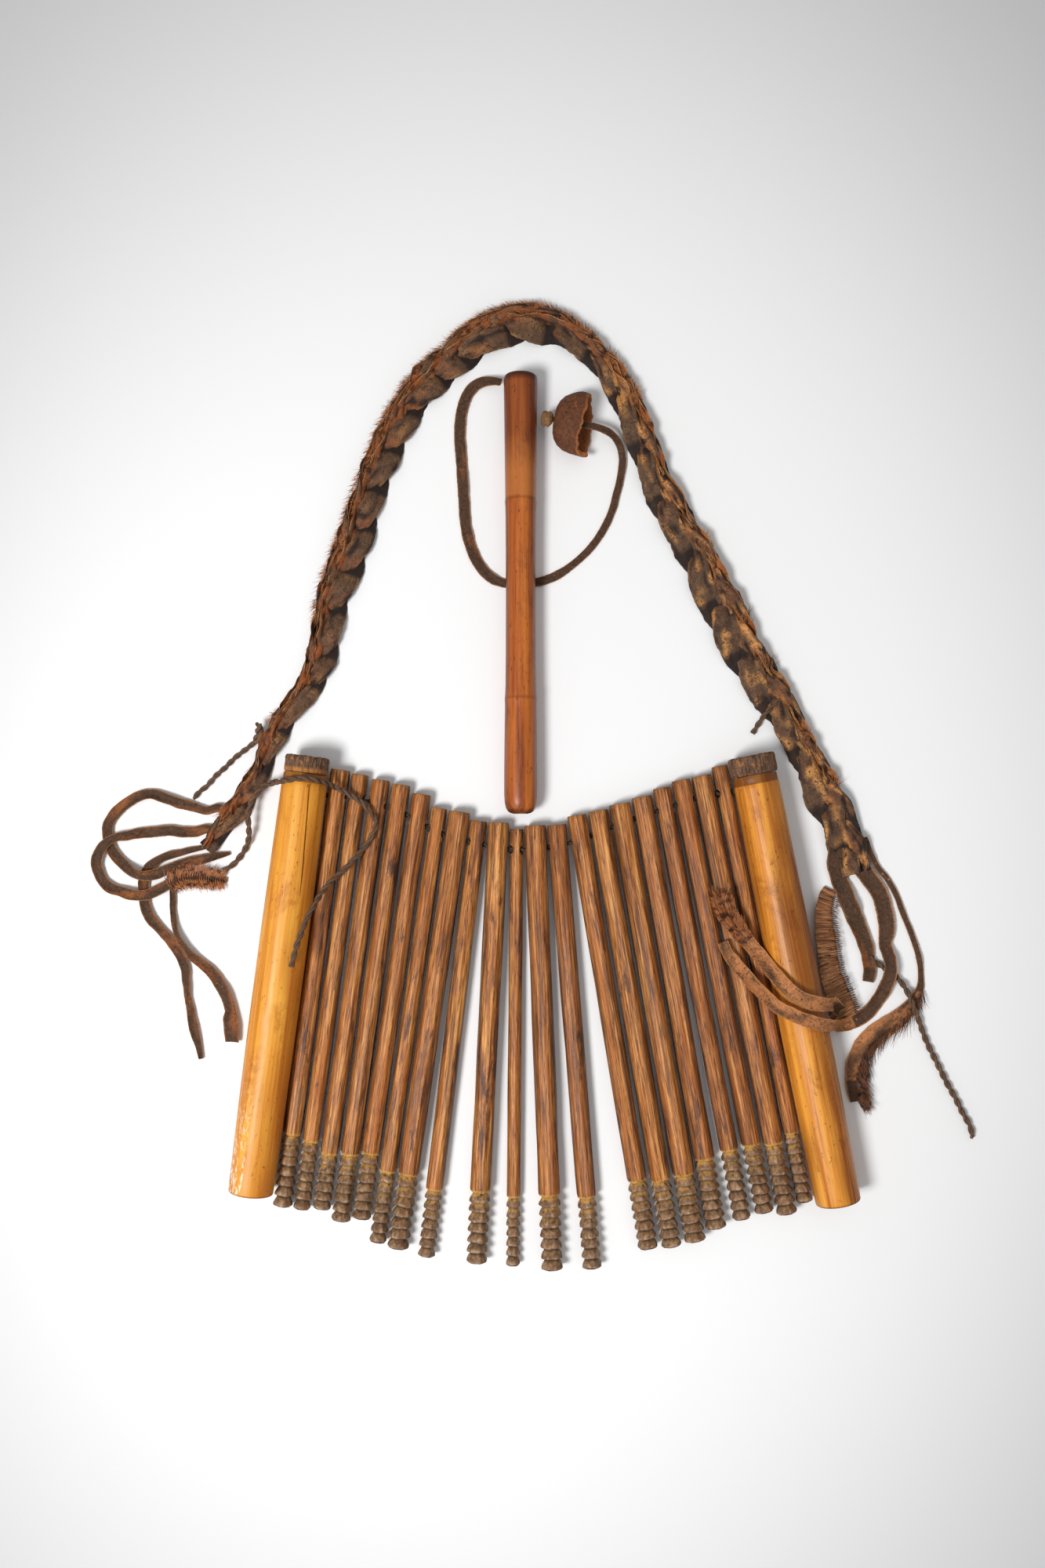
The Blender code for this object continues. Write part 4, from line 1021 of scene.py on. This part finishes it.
def strap_strand(number, line, at, side):
    """One strand of the plait: flat where it lies on the inner side, on edge on the outer side."""
    share = at / at[-1]
    phases = TAU * np.cumsum(np.gradient(at) / np.interp(share, (0.45, 0.62), PLAIT))
    phases += number * TAU / 3.0
    phases += np.array([0.7 * wave(a / 38.0, 2.0, 6.0) for a in at])
    centres = []
    for k, here in enumerate(at):
        sway = 0.035 * wave(here / 16.0, number * 9.0, 4.0)
        offset = line[k, 3] * (0.235 * math.sin(phases[k]) - 0.02 + sway)
        height = 4.7 + 2.2 * math.sin(2.0 * phases[k]) + 0.5 * wave(here / 12.0, number, 9.0)
        centres.append(line[k, :3] + side[k] * offset + UP * height)
    along = unit(np.gradient(np.array(centres), axis=0))
    rings = []
    for k, here in enumerate(at):
        outer = 0.5 + 0.5 * math.sin(phases[k])
        right_arm = clamp((share[k] - 0.52) / 0.08)
        fold = math.exp(-((here - at[-1] * 0.525) / 16.0) ** 2)
        roll = 6.0 + (52.0 - 26.0 * right_arm) * outer ** 1.6
        roll = math.radians(roll + 22.0 * wave(here / 24.0, number * 4.0, 0.0))
        across = unit(np.cross(UP, along[k]))
        lie, face = rolled(across, np.cross(along[k], across), roll)
        half = line[k, 3] * (0.31 + 0.05 * wave(here / 11.0, number, 3.0)) * (1.0 - 0.22 * outer)
        # painted shade: a strand is painted darker where it dives low, under the others
        low = max(0.0, (4.5 - centres[k][2]) / 1.3)
        ring = []
        for _, u, v in circle(34):
            ragged = 0.10 * wave(here / 3.2, number * 3.0, math.copysign(4.0, u))
            x = half * math.copysign(abs(u) ** 0.75, u) * (1.0 + ragged * u * u)
            crease = wave(here / 15.0, u * 1.9, number * 5.0)
            z = (1.15 if v > 0 else 1.0) * math.copysign(abs(v) ** 0.45, v)
            z += (0.5 + 1.3 * outer) * wave(here / 9.0, u * 1.3, number * 7.0)
            z += (1.0 + 0.6 * outer) * crease
            z += 0.30 * wave(here / 6.0, u * 4.5, number * 6.0)
            z += 0.18 * wave(here / 1.1, u * 9.0, number * 2.0)
            z -= (1.0 - 0.8 * math.sin(2.0 * phases[k]) + 0.6 * outer) * u * u
            point = centres[k] + lie * x + face * z
            red = 1.2 * outer * (0.50 + 1.3 * wave(here / 13.0, u, number * 3.0))
            # painted shade in pockets between the strands, in their creases and in the fold at the
            # top
            pocket_shade = max(0.0, wave(here / 8.0, u * 2.0, number + 20.0) - 0.15) * 6.5
            pocket_shade = pocket_shade * (0.15 + 0.85 * outer) + 1.4 * fold * outer
            pocket_shade += 2.4 * max(0.0, -crease - 0.20)
            # more painted shade at the strand's edges, where it tucks under its neighbours
            under = low + max(0.0, abs(u) - 0.86) * 5.0
            rubbed = 2.4 * wave(here / 14.0, u * 1.1, number * 9.0 + 2.0) + 1.2 * crease
            ring.append((held(point, 0.15, 11.8), (here, x),
                         0.5 if abs(u) > 0.93 else 0.0, clamp(red * (1.0 - 0.7 * right_arm)),
                         min(0.96, pocket_shade + 1.4 * under),
                         clamp(rubbed * (0.20 + 0.80 * right_arm))))
        rings.append(ring)
    return rings


def strap_fold(number, line, at, side):
    """A narrow edge of hide that stands up along the outer side and folds over here and there."""
    first, last = 12, len(at) - 40
    rings = []
    for k in range(first, last):
        here = at[k]
        share = 0.10 + 0.13 * number + 0.09 * wave(here / 17.0, number * 8.0, 1.0)
        height = 7.6 - 5.0 * max(0.0, share - 0.18) + 1.3 * wave(here / 12.0, number * 8.0, 5.0)
        centre = line[k, :3] + side[k] * line[k, 3] * share + UP * height
        roll = math.radians(60.0 + 110.0 * wave(here / 19.0, number * 8.0, 9.0))
        lie, face = rolled(side[k], UP, roll)
        half = 3.2 * (1.0 + 0.7 * wave(here / 9.0, number * 5.0, 2.0))
        half *= min(1.0, (k - first + 1) / 8.0, (last - k) / 8.0)
        if number < 2:
            half *= clamp((at[-1] * 0.60 - here) / 15.0, 0.02)
        ring = []
        for _, u, v in circle(12):
            x = half * u * (1.0 + 0.18 * wave(here / 2.4, math.copysign(3.0, u), number))
            z = 0.55 * v + 1.1 * u * u * math.copysign(1.0, wave(number, 3.3, 1.0))
            z += 0.5 * wave(here / 5.0, u, number + 12.0)
            point = centre + lie * x + face * z
            ring.append((held(point, 0.2, 11.9), (here, x),
                         0.8 if abs(u) > 0.9 else 0.0,
                         clamp(0.35 * v + 0.25 + 1.3 * wave(here / 11.0, number, 8.0)),
                         clamp(3.0 * wave(here / 7.0, u, number + 6.0) - 0.5, 0.0, 0.9),
                         0.5 * (here > at[-1] * 0.56)))
        rings.append(ring)
    return rings


def strap_hair(line, at, side, run, material):
    """Red-brown hair on the outer side of the strap, thickest over its top."""
    random = np.random.default_rng(5)
    roots = []
    total = at[-1]
    for _ in range(30000):
        s = random.uniform(20.0, total - 60.0)
        k = int(np.searchsorted(at, s))
        top = math.exp(-((s - total * 0.47) / 95.0) ** 2)
        keep = 0.30 + 1.1 * wave(s / 19.0, 3.0, 8.0) + 0.50 * top - 0.45 * (s > total * 0.60)
        keep -= 0.6 * (s < total * 0.20)
        if random.uniform(0.0, 0.8) > keep:
            continue
        out = random.uniform(0.12, 0.44)
        root = line[k, :3] + side[k] * line[k, 3] * out + UP * (8.6 - 10.0 * max(0.0, out - 0.2))
        direction = (side[k] * random.uniform(0.2, 1.0) - run[k] * random.uniform(0.3, 1.2)
                     + UP * random.uniform(0.0, 0.4))
        roots.append((root, direction, random.uniform(2.5, 6.5), random.uniform(0.4, 2.4)))
    return hair("braided_strap_hair", roots, material, random, 0.17)


def make_strap(hide, red_hairs):
    points = [(x, y, 0.0, width) for x, y, width in STRAP]
    line, at = smooth_run([(-236, -18, 0.0, 12)] + points + [(218, -35, 0.0, 22)], 1.5)
    run, side, _ = frames(line)
    skins = [add_skin(f"braided_strap_{word}_{number + 1}", shape(number, line, at, side), hide,
                      STRAP_MARKS, sharp=55.0)
             for word, shape in (("strand", strap_strand), ("fold", strap_fold))
             for number in range(3)]
    strap = join(skins)
    strap.name = "braided_strap_hide"
    fuzz = strap_hair(line, at, side, run, red_hairs)
    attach(fuzz, ROOT)
    declare(strap, line, ROOT, ("braided_strap",))


# ---------------------------------------------------------------- the whole object
def make_floor():
    shade = Shade("floor_paper", 0.9)
    far = shade.add("ShaderNodeVectorMath", Vector=shade.where((1.4, 1.0, 1.0)))
    far.operation = "LENGTH"
    # painted light falloff: near white in the middle and grey towards the edges, a painted pool of
    # light
    paper = shade.ramp(shade.level(far.outputs["Value"], 0.30, 0.95),
                       [(0.0, (0.95, 0.95, 0.95)), (1.0, (0.53, 0.53, 0.53))])
    mesh = bpy.data.meshes.new("floor")
    mesh.from_pydata([(-3, -3, 0), (3, -3, 0), (3, 3, 0), (-3, 3, 0)], [], [(0, 1, 2, 3)])
    floor = into_scene("floor", mesh, shade.finish(paper))
    floor.location = (0.0, 0.0, -0.0002)


def tube_point(word, x, y, z):
    tube = TUBES[word]
    return tuple(Vector((*tube["rim"], TUBE_Z)) + lean_turn(tube["lean"]) @ Vector((x, y, z)))


def stringing_route():
    """Knot inside the left tube, through all the pipes, knot inside the right tube."""
    holes = [(x, y, CORD_Z) for x, y, *_ in PIPES]
    route = [tube_point("left", *place) for place in (
        (1.0, -16.0, -7.4), (4.0, -15.2, -7.3), (7.4, -14.0, -8.0), (11.2, -13.0, -8.6))]
    for k, hole in enumerate(holes):
        route.append(hole)
        if k + 1 < len(holes):
            low = Vector(holes[max(k - 1, 0)])
            high = Vector(holes[min(k + 2, len(holes) - 1)])
            between = (Vector(hole) + Vector(holes[k + 1])) * 0.5625 - (low + high) * 0.0625
            route.append(tuple(between))
    route.append((131.3, 21.4, 6.2))
    return route + [tube_point("right", *place) for place in (
        (-11.2, -12.0, -8.6), (-7.4, -13.2, -8.0), (-4.0, -15.0, -7.3), (-1.0, -16.2, -7.4))]


def lay_cord(name, points, diameter, fibre, sizes=None, nodes=None, over=None):
    """A round cord that rides on the strap's body; given over, it rides on no body and only has its
    transform baked, with no blend onto the left tube.
    """
    cord, line = twisted_cord(name + "_fibre", points, diameter, fibre, sizes)
    if over:
        blend_between(cord, ROOT, "tube_left", *over)
    declare(cord, line, None if over else ROOT, nodes or (name,))


def make_cords():
    dark = cord_fibre("cord_fibre_dark", (0.070, 0.042, 0.028))
    brown = cord_fibre("cord_fibre_brown", (0.130, 0.072, 0.042))
    end_sizes = (0, 4, 7, 285, 288, 292), (1.2, 1.3, 1.0, 1.0, 1.3, 1.2)
    knot_sizes = (0, 4, 9, 14, 18, 90), (1.2, 1.6, 1.65, 1.3, 1.0, 1.0)
    lay_cord("stringing_cord", stringing_route(), 3.8, dark, end_sizes)
    lay_cord("left_knot_cord", LEFT_KNOT_CORD, 3.8, brown, knot_sizes)
    lay_cord("left_cord", [(-224, -33, 2.4), (-219, -30, 2.4)] + LEFT_CORD, 4.2, brown,
             nodes=("left_table_cord", "left_over_cord"), over=((-192, 27, 12), (-184, 27, 12)))
    lay_cord("right_twisted_cord", RIGHT_TWISTED_CORD, 4.2, brown)
    lay_cord("right_short_cord", RIGHT_SHORT_CORD, 3.8, brown)


def lay_strip(name, points, hide, diameter, seed, nodes=None, over=None, fuzz=None,
              thickness=1.7, **look):
    """A hide end with its hair, riding on the strap's body; given over, its hair rides on the right
    tube and the strip on no body, with its transform baked and no blend.
    """
    strip, line = hide_strip(name + "_hide", points, thickness, hide, seed=seed, **look)
    hairs = ()
    if fuzz:
        hairs = (strip_hair(name + "_hair", line, **fuzz),)
        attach(hairs[0], "tube_right" if over else ROOT)
    if over:
        blend_between(strip, ROOT, "tube_right", *over)
    declare(strip, line, None if over else ROOT, nodes or (name,))


def make_strips(hide, worn_hide, pelt, hairs, red_hairs):
    upper_start = [(-219, 6, 2.4, 6)] + LEFT_STRIP_UPPER
    lower_start = [(-229, -5, 2.4, 7)] + LEFT_STRIP_LOWER
    hanging_start = [(-231, -14, 2.0, 5)] + LEFT_STRIP_HANGING
    tuft = dict(count=1500, material=red_hairs, seed=22, spans=[(0.80, 0.99)], length=(2.5, 6.5),
                along=0.35, out=0.9, high=0.25)
    for word, points, diameter, seed, fuzz in (("upper", upper_start, 9.0, 2.0, None),
                                               ("lower", lower_start, 9.0, 5.0, tuft),
                                               ("hanging", hanging_start, 8.5, 8.0, None),
                                               ("thin", LEFT_STRIP_THIN, 8.5, 11.0, None)):
        lay_strip(f"left_strip_{word}", points, hide, diameter, seed, fuzz=fuzz, wide=0.84)
    inner = [(204, -17, 3.6, 11)] + RIGHT_STRIP_INNER + [
        (227, -96, 1.0, 9), (228, -104, 1.0, 9), (227, -111, 1.0, 8),
    ]
    lay_strip("right_strip_inner", inner, hide, 10.0, 14.0,
              thickness=1.8, orange=(0.6, 0.9, 0.0))
    lay_strip("right_hair_strip", RIGHT_HAIR_STRIP, pelt, 16.0, 17.0,
              thickness=1.8, cup=0.5, twist=3.0, orange=(0.0, 1.0, 0.3),
              fuzz=dict(count=500, material=hairs, seed=23, spans=[(0.03, 0.97)],
                        length=(2.5, 6.0), along=-0.12, out=-1.0, high=0.12, one_way=True,
                        across_share=(-0.5, -0.42)))
    fringe = [(224, -10, 4.0, 4), (228, -20, 3.0, 4)] + RIGHT_FRINGE_STRIP
    lay_strip("right_fringe_strip", fringe, worn_hide, 12.0, 20.0,
              thickness=1.6, cup=0.7, twist=14.0, orange=(0.55, 0.93, 0.5),
              fuzz=dict(count=1300, material=hairs, seed=24, length=(4.0, 13.0), along=1.0,
                        spans=[(0.55, 1.0), (0.86, 1.0), (0.93, 1.0), (0.95, 1.0)],
                        out=0.8, one_way=True, across_share=(0.1, 0.5)))
    joined = [(215, -19, 3.2, 11)] + RIGHT_STRIP_OUTER[:-1] + [
        (225, -134, 1.4, 10), (216, -139, 2.2, 9.5), (208, -140.5, 7.0, 9), (203, -140, 12.0, 9),
    ] + RIGHT_OVER_LOWER
    lay_strip("right_strip_outer", joined, worn_hide, 9.5, 23.0, twist=16.0,
              orange=(0.50, 1.0, 0.85), nodes=("right_strip_outer", "right_over_strip_lower"),
              over=((218, -130, 10), (200, -130, 10)))
    upper = [(207, -131, 5, 9), (203, -128, 11, 9)] + RIGHT_OVER_UPPER
    lay_strip("right_over_upper", upper, worn_hide, 10.5, 26.0, twist=16.0,
              orange=(0.10, 1.0, 0.85), nodes=("right_over_strip_upper",),
              over=((207, -130, 10), (197, -130, 10)),
              fuzz=dict(count=800, material=red_hairs, seed=25, spans=[(0.74, 1.0)],
                        length=(3.0, 8.0), along=1.0, out=0.3))

    thong, line = hide_strip("case_thong_hide", CASE_THONG, 1.3, hide, cup=0.5, twist=6.0,
                             seed=29.0, orange=(0.0, 0.45, -0.3), wide=1.05)
    blend_between(thong, "case", "cap", (-2.0, 170.0, 1.0), (24.9, 175.4, 1.0))
    declare(thong, line, None, ("case_thong",))


make_camera()
make_studio()
make_floor()
wood = whittled_wood("pipe_wood_whittled")
for number in range(1, len(PIPES) + 1):
    make_pipe(number, wood)
rough = rough_wood("stopper_wood_rough")
make_tube("left", bamboo_skin("bamboo_skin_left", 2.0, (0.88, 0.42, 0.055), (0.74, 0.29, 0.026),
                              (0.44, 0.115, 0.008), 0.26), rough)
make_tube("right", bamboo_skin("bamboo_skin_right", 5.0, (0.86, 0.38, 0.050), (0.66, 0.23, 0.022),
                               (0.21, 0.045, 0.004), 0.24), rough)
make_case(bamboo_skin("case_cane_skin", 3.0, (0.58, 0.165, 0.024), (0.40, 0.090, 0.013),
                      (0.11, 0.020, 0.006), 0.16, band=(0.50, 0.18, 0.045)))
make_cap(hide_skin("cap_hide", (0.13, 0.045, 0.018), (0.38, 0.12, 0.03), (0.34, 0.10, 0.02), -0.01),
         hide_skin("knot_hide", (0.24, 0.12, 0.045), (0.36, 0.19, 0.06), (0.16, 0.06, 0.02), 0.0))
hide = hide_skin("strip_hide", (0.075, 0.036, 0.018), (0.34, 0.14, 0.042), (0.33, 0.105, 0.028),
                 -0.03)
worn = hide_skin("worn_hide", (0.085, 0.040, 0.020), (0.46, 0.20, 0.07), (0.56, 0.22, 0.075),
                 -0.02)
hairs = hair_fibre("hair", (0.070, 0.024, 0.010), (0.22, 0.075, 0.025))
red_hairs = hair_fibre("red_hair", (0.20, 0.055, 0.014), (0.60, 0.23, 0.080))
pelt = combed_pelt("combed_pelt", (0.050, 0.020, 0.010), (0.33, 0.125, 0.045), (0.72, 0.38, 0.17))
make_cords()
make_strips(hide, worn, pelt, hairs, red_hairs)
make_strap(hide_skin("strap_hide", (0.115, 0.060, 0.032), (0.68, 0.31, 0.095),
                     (0.36, 0.090, 0.017), 0.06, tan="tan"), red_hairs)
